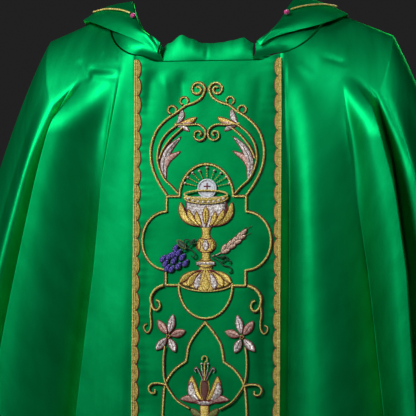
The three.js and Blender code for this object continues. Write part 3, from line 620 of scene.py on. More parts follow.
def petal(piece, base, tip, width, material, outline=None, bend=0.0, crown=1.2, height=0.2, fullness=0.55):
    """A pointed petal or leaf; bend pushes its middle sideways by that share of its length."""
    base, tip = np.asarray(base, float), np.asarray(tip, float)
    along = tip - base
    side = np.array([along[1], -along[0]])
    share = np.linspace(0, 1, max(int(np.linalg.norm(along) / 1.4), 8) + 1)
    spine = base + share[:, None] * along + (bend * np.sin(np.pi * share))[:, None] * side
    peak = share ** (math.log(0.5) / math.log(fullness))
    halves = np.maximum(width / 2 * np.sin(np.pi * peak) ** 0.8, 0.3)
    pad(piece, spine, halves, crown, material, base=height, outline=outline)


def bead(piece, x, down, radius, material, height=0.3):
    """A domed bead or a filled round dot."""
    sides = 10
    turn = np.linspace(0, 2 * np.pi, sides, endpoint=False)
    lift = np.radians([0, 30, 60, 85])
    ring = np.stack([np.cos(turn), np.sin(turn)], -1)
    points = [np.array([[x, down, height - 0.1]])]
    for angle in lift:
        spot = np.array([x, down]) + ring * radius * math.cos(angle)
        points.append(np.column_stack([spot, np.full(sides, height + radius * 0.9 * math.sin(angle))]))
    points.append(np.array([[x, down, height + radius * 0.9]]))
    points = np.concatenate(points)
    faces = grid_faces(len(lift), sides, closed_columns=True, flip=True) + 1
    spots = np.arange(sides)
    after = (spots + 1) % sides
    foot = np.stack([np.zeros(sides, int), 1 + spots, 1 + after], -1)
    base = 1 + (len(lift) - 1) * sides
    top = np.stack([base + after, base + spots, np.full(sides, len(points) - 1)], -1)
    piece.add(points, points[:, :2] - [x, down], [faces, foot, top], material)


# ---- Materials ----
def new_material(name, **values):
    material = bpy.data.materials.new(name)
    material.use_nodes = True
    shader = material.node_tree.nodes["Principled BSDF"]
    for socket, value in values.items():
        shader.inputs[socket.replace("_", " ")].default_value = value
    return material, material.node_tree, shader


def node(tree, kind, **settings):
    made = tree.nodes.new(kind)
    for name, value in settings.items():
        if name in made.inputs:
            made.inputs[name].default_value = value
        else:
            setattr(made, name, value)
    return made


def thread_coordinates(tree, along, across):
    """Millimetres along the work and across it, scaled."""
    uv = node(tree, "ShaderNodeUVMap", uv_map="thread")
    scale = node(tree, "ShaderNodeMapping")
    scale.inputs["Scale"].default_value = (along, across, 1)
    tree.links.new(uv.outputs["UV"], scale.inputs["Vector"])
    return scale.outputs["Vector"]


def colour_ramp(tree, value, stops):
    ramp = node(tree, "ShaderNodeValToRGB")
    ramp.color_ramp.elements[0].position = stops[0][0]
    ramp.color_ramp.elements[0].color = (*stops[0][1], 1)
    ramp.color_ramp.elements[1].position = stops[-1][0]
    ramp.color_ramp.elements[1].color = (*stops[-1][1], 1)
    for position, colour in stops[1:-1]:
        ramp.color_ramp.elements.new(position).color = (*colour, 1)
    tree.links.new(value, ramp.inputs["Fac"])
    return ramp.outputs["Color"]


def satin_material(name, dark, light, roughness, metallic):
    tint = (light[0] * 2, min(light[1] * 2.2, 1), light[2] * 2.2, 1)
    material, tree, shader = new_material(
        name, Metallic=metallic, Specular_IOR_Level=0.6, Specular_Tint=tint)
    coordinates = thread_coordinates(tree, 1, 1)
    cloud = node(tree, "ShaderNodeTexNoise", Scale=0.02, Detail=3.0)
    tree.links.new(coordinates, cloud.inputs["Vector"])
    colour = colour_ramp(tree, cloud.outputs["Fac"], [(0.3, dark), (0.7, light)])
    tree.links.new(colour, shader.inputs["Base Color"])
    slubs = node(tree, "ShaderNodeTexNoise", Scale=1.0, Detail=4.0)
    tree.links.new(thread_coordinates(tree, 0.35, 0.02), slubs.inputs["Vector"])
    rough = node(tree, "ShaderNodeMapRange")
    rough.inputs["To Min"].default_value = roughness - 0.05
    rough.inputs["To Max"].default_value = roughness + 0.06
    tree.links.new(slubs.outputs["Fac"], rough.inputs["Value"])
    tree.links.new(rough.outputs["Result"], shader.inputs["Roughness"])
    weave = node(tree, "ShaderNodeTexWave", Scale=0.9, Distortion=1.2, wave_type="BANDS")
    tree.links.new(thread_coordinates(tree, 1, 0.4), weave.inputs["Vector"])
    weave_bump = node(tree, "ShaderNodeBump", Strength=0.12, Distance=0.0002)
    tree.links.new(weave.outputs["Fac"], weave_bump.inputs["Height"])
    crumple = node(tree, "ShaderNodeTexNoise", Scale=0.06, Detail=6.0, Roughness=0.68)
    tree.links.new(coordinates, crumple.inputs["Vector"])
    bump = node(tree, "ShaderNodeBump", Strength=0.2, Distance=0.0012)
    tree.links.new(crumple.outputs["Fac"], bump.inputs["Height"])
    tree.links.new(weave_bump.outputs["Normal"], bump.inputs["Normal"])
    tree.links.new(bump.outputs["Normal"], shader.inputs["Normal"])
    return material


GLINT_STREAK = 0.8  # painted glint lines, partly thread-to-thread tone, to a millimetre across the threads


def thread_material(name, stops, metallic=0.0, roughness=0.45, grain=0.5):
    """Stitched thread: a streaky noise across the work, partly thread-to-thread tone and partly painted
    glints, patches of the other colours, and thread ridges.
    """
    material, tree, shader = new_material(name, Metallic=metallic, Roughness=roughness)
    # Light and dark lines in the thread colour: painted glints of the threads, with some thread-to-thread
    # tone.
    glint_streaks = node(tree, "ShaderNodeTexNoise", Scale=1.0, Detail=3.0, Roughness=0.7)
    tree.links.new(thread_coordinates(tree, GLINT_STREAK, GLINT_STREAK * 0.12), glint_streaks.inputs["Vector"])
    patches = node(tree, "ShaderNodeTexNoise", Scale=grain, Detail=2.0)
    tree.links.new(thread_coordinates(tree, 1, 1), patches.inputs["Vector"])
    mixed = node(tree, "ShaderNodeMath", operation="ADD")
    tree.links.new(glint_streaks.outputs["Fac"], mixed.inputs[0])
    tree.links.new(patches.outputs["Fac"], mixed.inputs[1])
    half = node(tree, "ShaderNodeMath", operation="MULTIPLY")
    half.inputs[1].default_value = 0.5
    tree.links.new(mixed.outputs[0], half.inputs[0])
    tree.links.new(colour_ramp(tree, half.outputs[0], stops), shader.inputs["Base Color"])
    ridges = node(tree, "ShaderNodeTexWave", Scale=0.55, Distortion=0.6, wave_type="BANDS")
    tree.links.new(thread_coordinates(tree, 1, 0.05), ridges.inputs["Vector"])
    bump = node(tree, "ShaderNodeBump", Strength=0.5, Distance=0.0003)
    tree.links.new(ridges.outputs["Fac"], bump.inputs["Height"])
    tree.links.new(bump.outputs["Normal"], shader.inputs["Normal"])
    return material


SATIN = satin_material("satin", (0.0005, 0.38, 0.1), (0.002, 0.5, 0.14), 0.5, metallic=0.97)
PANEL_SATIN = satin_material("panel_satin", (0.0004, 0.27, 0.07), (0.0012, 0.37, 0.1), 0.52, metallic=0.93)
LINING = satin_material("lining", (0.001, 0.12, 0.03), (0.002, 0.16, 0.045), 0.6, metallic=0.2)
GOLD = thread_material("gold_thread", [(0.36, (0.2, 0.1, 0.008)), (0.48, (0.66, 0.46, 0.07)),
                                       (0.62, (0.95, 0.8, 0.26))], metallic=0.35, roughness=0.36)
# A lighter copy of the gold thread for cords, spokes and beads: its cream colour is a painted highlight on
# the raised gold.
HIGHLIT_GOLD = thread_material("gold_thread_painted_highlight", [(0.36, (0.3, 0.17, 0.015)), (0.5, (0.78, 0.6, 0.14)),
                                                 (0.62, (1.0, 0.92, 0.45))], metallic=0.35, roughness=0.36)
SILVER = thread_material("silver_thread", [(0.38, (0.2, 0.12, 0.1)), (0.5, (0.58, 0.52, 0.49)),
                                           (0.6, (0.95, 0.93, 0.92))],
                         metallic=0.4, roughness=0.36, grain=0.35)
ROSE = thread_material("rose_thread", [(0.36, (0.3, 0.08, 0.06)), (0.5, (0.6, 0.34, 0.28)),
                                       (0.62, (0.82, 0.62, 0.54))], metallic=0.3, roughness=0.45, grain=0.3)
CRIMSON = thread_material("crimson_thread", [(0.4, (0.09, 0.005, 0.006)), (0.6, (0.26, 0.015, 0.025))])
BROWN = thread_material("brown_thread", [(0.4, (0.05, 0.012, 0.006)), (0.6, (0.2, 0.035, 0.02))])
VIOLET = thread_material("violet_thread", [(0.38, (0.015, 0.008, 0.1)), (0.5, (0.06, 0.03, 0.34)),
                                           (0.62, (0.3, 0.25, 0.8))], roughness=0.35)
VINE = thread_material("vine_thread", [(0.4, (0.003, 0.03, 0.012)), (0.6, (0.01, 0.09, 0.03))])
OLIVE = thread_material("olive_thread", [(0.4, (0.1, 0.12, 0.02)), (0.6, (0.34, 0.34, 0.1))])
WHEAT = thread_material("wheat_thread", [(0.38, (0.36, 0.18, 0.1)), (0.5, (0.66, 0.45, 0.33)),
                                         (0.62, (0.9, 0.74, 0.6))], metallic=0.15, roughness=0.45)
WHITE = thread_material("white_thread", [(0.38, (0.62, 0.68, 0.78)), (0.6, (0.9, 0.94, 1.0))], roughness=0.5)
PEARL = thread_material("pearl", [(0.38, (0.7, 0.6, 0.5)), (0.6, (0.95, 0.92, 0.86))], roughness=0.2)
GEM = thread_material("gem", [(0.38, (0.35, 0.01, 0.1)), (0.6, (0.85, 0.12, 0.4))], roughness=0.12)


# ---- Building and registering pieces ----
def place_on(face):
    def place(points):
        x = points[:, 0] * -face["sign"]
        return panel_point(face, x, points[:, 1], points[:, 2])

    return place


def register(piece, nodes):
    made = piece.build()
    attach(made, "root")
    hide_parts(*nodes)
    return made


SIDES = ((-1, "left"), (1, "right"))


def sewn_on(name, draw, face=FRONT):
    """One sewn piece on a centre panel."""
    piece = Piece(name, place_on(face))
    draw(piece)
    register(piece, [name])


def both_sides(name, draw):
    """A pair of pieces that mirror each other on the front panel."""
    for side, word in SIDES:
        sewn_on(f"{name}_{word}", lambda piece, side=side: draw(piece, side))


# ---- Cloth ----
def make_centre_panel(face, name):
    piece = Piece(name)
    rows, columns = 460, 120
    half = PANEL_HALF - 0.4
    x = np.linspace(-half, half, columns)
    rise = -NECK_CORNER_RISE * smooth((np.abs(x) - NECK_STRAIGHT_HALF) / (half - NECK_STRAIGHT_HALF))
    share = np.linspace(0, 1, rows)[:, None]
    down = rise + (panel_length(face) - rise) * share
    x = np.broadcast_to(x, down.shape)
    outer = panel_point(face, x, down, np.zeros(x.shape))
    uvs = np.stack([x, down], -1)
    cloth(piece, outer, uvs, face["sign"], PANEL_SATIN, LINING)
    made = register(piece, [name])


def make_side_panel(face, side, name, rows, columns):
    piece = Piece(name)
    across, level = np.meshgrid(np.linspace(0, 1, columns), np.linspace(0, 1, rows) ** 1.15)
    outer = side_point(face, side, across, level)
    steps = np.linalg.norm(np.diff(outer, axis=1), axis=-1)
    gone = np.concatenate([np.zeros((rows, 1)), np.cumsum(steps, axis=1)], axis=1)
    uvs = np.stack([gone * side, level * panel_length(face)], -1)
    cloth(piece, outer, uvs, face["sign"] * side, SATIN, LINING)
    made = register(piece, [name])


COLLAR_STEPS = 420  # round the whole neck


def collar_run(surface, cross_steps):
    """The grid of a collar sheet, from its right corner round the back to its left corner."""
    rows = []
    for j in range(cross_steps + 1):
        row = []
        for i in range(COLLAR_STEPS + 1):
            around = i / COLLAR_STEPS
            share = around * 4 if around < 0.5 else (1 - around) * 4
            side = 1 if around < 0.5 else -1
            row.append(surface(share, j / cross_steps, side) * [side, 1, 1])
        rows.append(row)
    return np.array(rows)


def tucks(share, across):
    """The gathers that fan out from the collar's front corners."""
    fan = math.exp(-((share / 0.2) ** 2))
    return 1.1 * fan * math.sin(9 * across + 20 * share) * float(smooth(share / 0.08))


def make_collar_sheets():
    def fall(share, down, side):
        ripple = tucks(share, down) + 1.0 * math.sin(7 * share + 3 * down + side) * math.sin(math.pi * down)
        point = fall_point(share, down, side)
        return point + np.append(unit(point[:2]) * 0.4, 0.9) * ripple

    def stand(share, down, side):
        return stand_point(share, 1 - down, side)

    for name, surface, steps in (("collar_fall", fall, 30), ("collar_stand", stand, 16)):
        piece = Piece(name)
        grid = collar_run(surface, steps)
        rows, columns = grid.shape[:2]
        uvs = np.stack(np.meshgrid(np.linspace(0, 900, columns), np.linspace(0, 80, rows)), -1)
        cloth(piece, grid, uvs, -1, SATIN, SATIN)
        made = register(piece, [name])


def make_front_band():
    piece = Piece("collar_front_band")
    half = BAND_HALF - 2
    x, down = np.meshgrid(np.linspace(-half, half, 120), np.linspace(0, 1, 30))
    place = np.interp(x, BAND_TOP_AT, np.arange(len(BAND_TOP)))
    knot = np.minimum(place.astype(int), len(BAND_TOP) - 2)
    rises = np.array(BAND_TOP)
    tall = rises[knot] + (rises[knot + 1] - rises[knot]) * smooth(place - knot)
    up = 1 - down
    foot = panel_base(FRONT, x, 0.0)
    wave = 0.8 * np.sin(x / 11) * np.sin(np.pi * up)
    wave = wave + 1.0 * np.exp(-(((x + 2) / 3) ** 2)) * up * (1 - up) * 3
    y = foot[..., 1] + COLLAR_GAP + CLOTH + 9 * up**2 + wave
    grid = np.stack([x, y, foot[..., 2] + COLLAR_GAP + tall * up], -1)
    cloth(piece, grid, np.stack([x, down * 40], -1), -1, PANEL_SATIN, PANEL_SATIN)
    made = register(piece, ["collar_front_band"])


# ---- Braids and cords ----
BRAID_PITCH = 24.8
BRAID_DEPTH = 5.0
BRAID_OUTER = 99.8
BRAID_WEB = 1.4
CORD_CLEARANCE = 0.4
EDGE_CORD_RADIUS = 1.1
HEM_MARGIN = 6.0


def scallop(side, reach, middle, pitch, steps=11, trim=0.0):
    """An arc of a braid's scallop, reach being its share of the full depth."""
    web = BRAID_OUTER - BRAID_WEB
    angle = np.linspace(trim, math.pi - trim, steps)
    across = side * (web - BRAID_DEPTH * reach * np.sin(angle))
    return np.column_stack([across, middle - pitch * 0.49 * reach**0.6 * np.cos(angle)])


def trim_run(face):
    """Where a braid and its cord start and end, down a centre panel."""
    return -NECK_CORNER_RISE + HEM_MARGIN, panel_length(face) - HEM_MARGIN


def line_down(face, x):
    top, bottom = trim_run(face)
    steps = int((bottom - top) / 0.9)
    return np.column_stack([np.full(steps, x), np.linspace(top, bottom, steps)])


def make_braid(face, side, name):
    """A web with a scalloped inner edge: gold arcs, a crimson outline and short gold spokes."""
    top, bottom = trim_run(face)
    count = round((bottom - top) / BRAID_PITCH)
    pitch = (bottom - top) / count
    piece = Piece(name, place_on(face))
    web = line_down(face, side * (BRAID_OUTER - BRAID_WEB / 2))
    cord(piece, web, 0.95, 1.1, HIGHLIT_GOLD, sides=7, twist=3.4)
    for i in range(count):
        middle = top + pitch * (i + 0.5)
        for reach, radius in ((0.3, 0.6), (0.62, 0.6), (0.92, 0.75)):
            cord(piece, scallop(side, reach, middle, pitch), radius, 0.9, GOLD, sides=5)
        cord(piece, scallop(side, 1.12, middle, pitch, trim=0.1), 0.6, 0.75, CRIMSON, sides=5)
        near, far = scallop(side, 0.1, middle, pitch, 9), scallop(side, 0.95, middle, pitch, 9)
        for start, end in list(zip(near, far))[1:-1]:
            cord(piece, np.array([start, end]), 0.4, 1.25, HIGHLIT_GOLD, sides=4)
    register(piece, [name])


def make_edge_cord(face, side, name):
    piece = Piece(name, place_on(face))
    line = line_down(face, side * (BRAID_OUTER + CORD_CLEARANCE + EDGE_CORD_RADIUS))
    cord(piece, line, EDGE_CORD_RADIUS, EDGE_CORD_RADIUS + 0.5, HIGHLIT_GOLD, sides=9, twist=4.0)
    register(piece, [name])


CORD_RADIUS = 1.3
THREAD_RADIUS = 0.95
CORD_PITCH = 4.4


def gold_cord(piece, path, radius=CORD_RADIUS, closed=False, height=0.9, shadow=True, taper=0.0):
    """A twisted gold cord couched down; with shadow, a dark brown strip runs along its outer side, partly an
    outline thread and partly a painted shadow of the raised cord.
    """
    path = np.asarray(path, float)
    middle = height + radius * 0.6
    cord(piece, path, radius, middle, HIGHLIT_GOLD, closed, sides=9, twist=CORD_PITCH, taper=taper)
    # The brown strip beside the cord: partly an outline thread, partly a painted shadow.
    if shadow:
        away = flat_frame(path, closed)[:, :2] * (radius + 0.45)
        cord(piece, path + away, 0.75, height, BROWN, closed, sides=5, taper=taper)


# ---- Front embroidery; side is -1 for the left of the picture and +1 for its right ----
LOBE_HALF = 37.0
LOBE_STEP = 55.0
LOBE_SIDE = 89.0
QUATREFOIL_TOP = 141.8
QUATREFOIL_BOTTOM = 351.3
UPPER_STEP = 185.6
LOWER_STEP = 306.5
SIDE_LOBE_TOP = 206.5
SIDE_LOBE_BOTTOM = 285.5
BACK_EMBLEM_SHIFT = 40.0


def quatrefoil_path(shift=0.0):
    upper, lower = UPPER_STEP + shift, LOWER_STEP + shift
    middle = (SIDE_LOBE_TOP + SIDE_LOBE_BOTTOM) / 2 + shift
    half = (SIDE_LOBE_BOTTOM - SIDE_LOBE_TOP) / 2
    path = [
        arc((0, upper), LOBE_HALF, UPPER_STEP - QUATREFOIL_TOP, 180, 0),
        [(LOBE_STEP, upper)],
        arc((LOBE_STEP, middle), LOBE_SIDE - LOBE_STEP, half, 90, -90),
        [(LOBE_STEP, lower)],
        arc((0, lower), LOBE_HALF, QUATREFOIL_BOTTOM - LOWER_STEP, 0, -180),
        [(-LOBE_STEP, lower)],
        arc((-LOBE_STEP, middle), LOBE_SIDE - LOBE_STEP, half, 270, 90),
        [(-LOBE_STEP, upper)],
    ]
    return resample(np.concatenate(path), 1.1, closed=True)


def mirror(points, side):
    return np.asarray(points, float) * [side, 1]


def ogee_path():
    half = np.concatenate([
        curve([(0, 357), (12, 371.5), (22, 388), (26, 410)], 1.1),
        curve([(26, 410), (42, 422), (53, 438.5), (56.5, 456), (58, 490), (57, 530), (49, 570), (32, 604),
               (0, 640)], 1.1)[1:],
    ])
    return np.concatenate([half, mirror(half[1:-1], -1)[::-1]])


def draw_upper_scroll(piece, side):
    curl = spiral((13.2, 39.0), 2.6, 10.4, 1.35, 180)
    sweep_line = curve([
        curl[-1], (4.6, 45), (9, 51.5), (18.4, 57.2), (30, 61), (42, 70), (56.6, 79.6), (70, 94),
        (77.2, 112), (78.7, 130), (75, 149), (66, 168), (55, 184),
    ])
    gold_cord(piece, mirror(np.concatenate([curl, sweep_line[1:]]), side))
    gold_cord(piece, mirror(arc((32.2, 54.4), 5.4, 5.0, -70, 215), side), THREAD_RADIUS)
    gold_cord(piece, mirror(arc((48.6, 66.8), 5.6, 5.2, -70, 215), side), THREAD_RADIUS)


def draw_inner_stem(piece, side):
    outer = curve([
        (42.4, 87.6), (57, 100), (66, 114.6), (69, 132.6), (66, 147), (58.8, 161.6), (48, 172), (39, 182)])
    inner = curve([(33.5, 91), (49.6, 105.5), (60.5, 120), (66.5, 134)])
    lower = curve([
        (46, 90.5), (40, 87), (28, 87.6), (11.8, 87.6), (2.5, 95), (3, 105), (10, 109), (16.5, 105),
        (16, 98), (10.5, 96.5), (7.6, 100), (10.5, 102.6)])
    for path in (outer, inner, lower):
        gold_cord(piece, mirror(path, side), THREAD_RADIUS, height=1.8)


def draw_lily(piece, side):
    def at(x, down):
        return (side * x, down)

    petal(piece, at(42.8, 86.4), at(34.5, 66), 8, SILVER, CRIMSON, bend=0.12 * side)
    petal(piece, at(42.8, 88), at(24.5, 96.2), 7, SILVER, CRIMSON, bend=-0.1 * side)
    petal(piece, at(40, 86), at(14.5, 77.2), 8.5, GOLD, CRIMSON, bend=0.08 * side, height=0.7)
    petal(piece, at(38, 87), at(20, 84), 4.5, ROSE, None, height=1.3)
    bead(piece, side * 43, 87, 2.6, GOLD)


def leaf_halves(spine, widest, lean):
    """Half widths along a leaf that comes to a point at both ends."""
    share = np.linspace(0, 1, len(spine))
    return np.maximum(widest * np.sin(np.pi * share**lean) ** 0.8, 0.3)


def draw_leaf(piece, side):
    spine = curve([(57.8, 164), (60, 142), (53.3, 122), (36, 103.5)], 1.4)
    pad(piece, mirror(spine, side), leaf_halves(spine, 5.4, 0.85), 1.1, SILVER, outline=CRIMSON)
    second = curve([(58.5, 150), (53, 134.5), (36.2, 123.6)], 1.4)
    pad(piece, mirror(second, side), leaf_halves(second, 3.9, 0.9), 1.1, ROSE, outline=CRIMSON)
    cord(piece, mirror(spine[4:-5], side), 0.5, 1.6, BROWN, sides=5)


def draw_corner_scroll(piece, side):
    drop = curve([
        (58.6, 306.7), (68.4, 311.4), (75, 320), (76.3, 328), (73, 338), (67.5, 341), (63, 336), (64.5, 329),
        (68.5, 327)])
    tail = curve([
        (75.8, 333), (76.8, 346), (75.6, 356), (76, 365), (80, 371.5), (84.4, 368.5), (85.4, 363),
        (81.5, 360)])
    gold_cord(piece, mirror(drop, side), 1.9, height=1.6, taper=0.45)
    gold_cord(piece, mirror(tail, side), THREAD_RADIUS, height=1.6, taper=0.25)


def draw_small_flower(piece, side):
    centre = np.array([side * 50.7, 376.0])
    tips = [(44.3, 346.5, SILVER), (66.2, 354.4, ROSE), (27.5, 368.6, ROSE), (41, 397.5, SILVER),
            (68.4, 395, SILVER)]
    for x, down, thread in tips:
        tip = np.array([side * x, down])
        start = centre + (tip - centre) * 0.14
        petal(piece, start, tip, 10.5, thread, CRIMSON, height=1.4, fullness=0.5)
        vein = centre + (tip - centre) * np.linspace(0.25, 0.72, 8)[:, None]
        cord(piece, vein, 0.5, 2.8, CRIMSON, sides=5)
    bead(piece, *centre, 3.2, CRIMSON, height=1.6)
    for turn in np.linspace(0, 2 * math.pi, 5, endpoint=False):
        bead(piece, centre[0] + 2.4 * math.cos(turn), centre[1] + 2.4 * math.sin(turn), 0.9, HIGHLIT_GOLD, 3.4)


def draw_flower_stem(piece, side):
    stem = curve([
        (55.5, 390), (57.4, 406.5), (56.8, 428), (53.2, 441.7), (45.8, 453.8), (36.2, 464.7), (20.4, 473.8)])
    curl = curve([
        (52.5, 443), (58, 441), (66.6, 440), (74, 441.5), (78, 447), (75, 453.5), (69, 453.5),
        (68.5, 448.5)])
    gold_cord(piece, mirror(stem, side), 0.9, height=2.6)
    gold_cord(piece, mirror(curl, side), 1.0, height=2.6)


def upright(top, foot, count):
    """A line down the middle of a centre panel."""
    return np.column_stack([np.zeros(count), np.linspace(top, foot, count)])


def draw_tulip(piece):
    share = np.linspace(0, 1, 24)
    halves = np.maximum(6.2 * np.sin(np.pi * (0.05 + 0.93 * share)) ** 0.7, 0.4)
    pad(piece, upright(430, 463, 24), halves, 1.6, BROWN, outline=GOLD)
    for side in (-1, 1):
        petal(piece, (side * 2, 463), (side * 17.5, 429.5), 13, GOLD, CRIMSON, bend=-0.16 * side, height=0.3)
        petal(piece, (side * 7, 463), (side * 18, 437), 10.5, SILVER, CRIMSON, bend=-0.2 * side, height=1.0)
        petal(piece, (side * 4, 467), (side * 33.5, 461.4), 10, ROSE, CRIMSON, bend=0.12 * side, height=0.5)
        petal(piece, (side * 3, 483), (side * 19, 473.5), 8.5, OLIVE, BROWN, bend=-0.1 * side)
        vein = curve([(side * 8, 462), (side * 17, 464.5), (side * 28, 462.5)])
        cord(piece, vein, 0.5, 1.9, CRIMSON, sides=5)
    petal(piece, (-11, 466), (11, 466), 6, SILVER, CRIMSON, height=1.2, fullness=0.5)
    pad(piece, upright(469, 507, 24), np.linspace(6.4, 5.0, 24), 1.0, GOLD, outline=CRIMSON)


def draw_stamens(piece):
    gold_cord(piece, curve([(0, 436), (0, 421), (0, 412)]), 0.9, height=2.4)
    gold_cord(piece, arc((0, 406.5), 3.6, 4.2, -90, 200), 0.9, height=2.4, shadow=False)
    for side in (-1, 1):
        cord(piece, curve([(side * 1, 432), (side * 4, 420), (side * 4.5, 414)]), 0.6, 2.4, SILVER, sides=6)
        bead(piece, side * 4.5, 413, 1.7, SILVER, 2.2)
        curl = curve([
            (side * 2, 434), (side * 7, 424), (side * 11, 417.5), (side * 14, 420), (side * 12, 423.5)])
        cord(piece, curl, 0.8, 2.4, CRIMSON, sides=6)
        cord(piece, curl + [0, 1.2], 0.45, 2.6, WHITE, sides=5)


# The chalice's outline: (drop, half width) down its middle.
CUP_PROFILE = [
    (186, 28.6), (193, 28.6), (200, 28.2), (207, 27.6), (214, 26), (219, 22.5), (223.7, 17.2), (227, 8.5),
    (228, 5)]
STEM_PROFILE = [
    (228.2, 7.2), (232, 5.4), (237, 5.0), (241.5, 6.5), (244, 10), (248, 13.2), (252, 13.9), (256, 13.2),
    (260, 9.5), (262, 6), (266, 5.4), (270.5, 5.6), (272, 8.2), (273.6, 8.6), (274.8, 12.8), (279, 13.1),
    (280, 9), (283.4, 8.6)]
FOOT_PROFILE = [(283.8, 8.8), (288, 11), (293, 17), (298, 26), (303, 36), (306.5, 33), (310, 20), (314, 7)]


def profile_pad(piece, profile, crown, material, outline=None, step=1.0):
    profile = np.array(profile)
    down = np.arange(profile[0, 0], profile[-1, 0] + step / 2, step)
    halves = np.interp(down, profile[:, 0], profile[:, 1])
    spine = np.column_stack([np.zeros(len(down)), down])
    pad(piece, spine, halves, crown, material, columns=15, outline=outline)


def draw_cup(piece):
    profile_pad(piece, CUP_PROFILE, 2.4, SILVER, outline=CRIMSON)
    for side in (-1, 1):
        tip = (side * 35.8, 193.4)
        petal(piece, (side * 12, 226), tip, 11, GOLD, CRIMSON, bend=-0.16 * side, height=1.4)
        petal(piece, (side * 9, 226), (side * 24.5, 203), 8.5, GOLD, CRIMSON, bend=-0.12 * side, height=2.0)
        petal(piece, (side * 5, 226.5), (side * 13, 206), 7.5, GOLD, CRIMSON, bend=-0.1 * side, height=2.4)
        cord(piece, curve([(side * 15, 222), (side * 25, 213), (side * 31, 201)]), 0.5, 3.4, BROWN, sides=5)
    petal(piece, (0, 227), (0, 199.5), 9, GOLD, CRIMSON, height=2.8, fullness=0.6)
    cord(piece, np.array([(0, 223), (0, 206)]), 0.6, 4.2, CRIMSON, sides=5)


def draw_rim(piece):
    ring = arc((0, 183), 29.4, 5.6, 0, 360, 1.2)[:-1]
    front_edge = arc((0, 184), 29.4, 6.4, 180, 360, 1.2)
    band = arc((0, 188), 29.2, 7.2, 184, 356, 1.2)
    gold_cord(piece, ring, 1.3, closed=True, height=3.4, shadow=False)
    spine = arc((0, 185.6), 28.8, 7.0, 184, 356, 1.2)
    pad(piece, spine, np.full(len(spine), 3.2), 0.8, GOLD, base=3.0, columns=7)
    gold_cord(piece, front_edge, 0.9, height=3.8, shadow=False)
    gold_cord(piece, band, 0.9, height=3.8)


def draw_pearls(piece):
    row = arc((0, 186.2), 26, 7.2, 200, 340, 1.0)
    for x, down in resample(row, np.sum(np.linalg.norm(np.diff(row, axis=0), axis=1)) / 7.0):
        bead(piece, x, down, 2.0, PEARL, 4.4)


def draw_stem(piece):
    profile_pad(piece, STEM_PROFILE, 2.2, GOLD, outline=CRIMSON, step=0.8)
    for down, half in ((243, 8.5), (261, 7.5), (272.6, 8.4), (281, 9)):
        line = curve([(-half, down - 0.6), (0, down + 1), (half, down - 0.6)])
        cord(piece, line, 0.55, 2.6, CRIMSON, sides=5)
    petal(piece, (0, 260), (0, 244), 9, SILVER, CRIMSON, height=2.0, fullness=0.5)
    for side in (-1, 1):
        petal(piece, (side * 9, 259), (side * 9, 245.5), 5, GOLD, CRIMSON, height=1.7, fullness=0.5)
    disc = np.column_stack([np.linspace(-12.4, 12.4, 20), np.full(20, 276.9)])
    pad(piece, disc, np.full(20, 2.1), 0.8, SILVER, base=2.0)


def draw_foot(piece):
    profile_pad(piece, FOOT_PROFILE, 1.6, GOLD)
    for x, down, width in ((0, 314.7, 11), (12.5, 311.8, 10), (24, 308.2, 9.5), (35.6, 303.4, 8)):
        for side in (-1, 1) if x else (1,):
            tip = np.array([side * x, down])
            start = np.array([side * x * 0.16, 285.5])
            thread = GOLD if x != 12.5 else SILVER
            bend = 0.1 * side if x else 0
            petal(piece, start, tip, width, thread, CRIMSON, bend, height=1.2, fullness=0.72)
    gold_cord(piece, arc((0, 303), 37, 11.6, 182, 358), 0.9, height=1.2)


HOST_CENTRE = np.array([1.4, 174.8])
HOST_RADIUS = 13.2


def draw_host(piece):
    down = np.linspace(-HOST_RADIUS + 0.4, HOST_RADIUS - 0.4, 26)
    halves = np.sqrt(HOST_RADIUS**2 - down**2)
    spine = HOST_CENTRE + np.column_stack([np.zeros(26), down])
    pad(piece, spine, halves, 0.6, WHITE, base=1.8, columns=19)
    ring = arc(HOST_CENTRE, HOST_RADIUS - 0.9, HOST_RADIUS - 0.9, 0, 360, 1.1)[:-1]
    cord(piece, ring, 1.0, 2.5, WHITE, closed=True, sides=8)
    inner = arc(HOST_CENTRE, 10.6, 10.6, 0, 360, 1.1)[:-1]
    cord(piece, inner, 0.35, 2.8, SILVER, closed=True, sides=5)
    x, y = HOST_CENTRE
    cord(piece, np.array([(x, y - 7.4), (x, y + 4.6)]), 0.85, 2.9, CRIMSON, sides=6)
    cord(piece, np.array([(x - 4.6, y - 3), (x + 4.6, y - 3)]), 0.85, 2.9, CRIMSON, sides=6)


def draw_rays(piece):
    ends = [(0.7, 146.3), (11, 150.4), (20, 154), (27.5, 159.5), (31.5, 168), (-9.6, 150.8), (-19, 153.6),
            (-25.5, 159.6), (-29.6, 167.6)]
    for x, down in ends:
        end = np.array([x, down])
        away = unit(end - HOST_CENTRE)
        reach = np.linalg.norm(end - HOST_CENTRE)
        for near in np.arange(HOST_RADIUS + 2.2, reach - 2.4, 3.4):
            dash = HOST_CENTRE + away * np.array([[near], [min(near + 2.2, reach - 2)]])
            cord(piece, dash, 0.65, 2.4, GOLD, sides=6)
        bead(piece, x, down, 1.9, ROSE, 1.8)
        bead(piece, x, down, 1.0, PEARL, 3.2)


def draw_grapes(piece):
    centres = [
        (41.3, 255.8), (37.5, 262.5), (50.7, 267.5), (32.3, 268.6), (43.8, 273.4), (55.5, 277.3),
        (27.7, 276.5), (37.5, 280.4), (52.8, 283.2), (46.9, 284.6), (44.5, 264.5), (59, 270.5)]
    for i, (x, down) in enumerate(centres):
        petal(piece, (-x - 3.7, down + 4.8), (-x + 3.8, down - 5.2), 7.4, VIOLET, VINE, crown=2.4,
              height=1.6 + 0.35 * (i % 3), fullness=0.42)


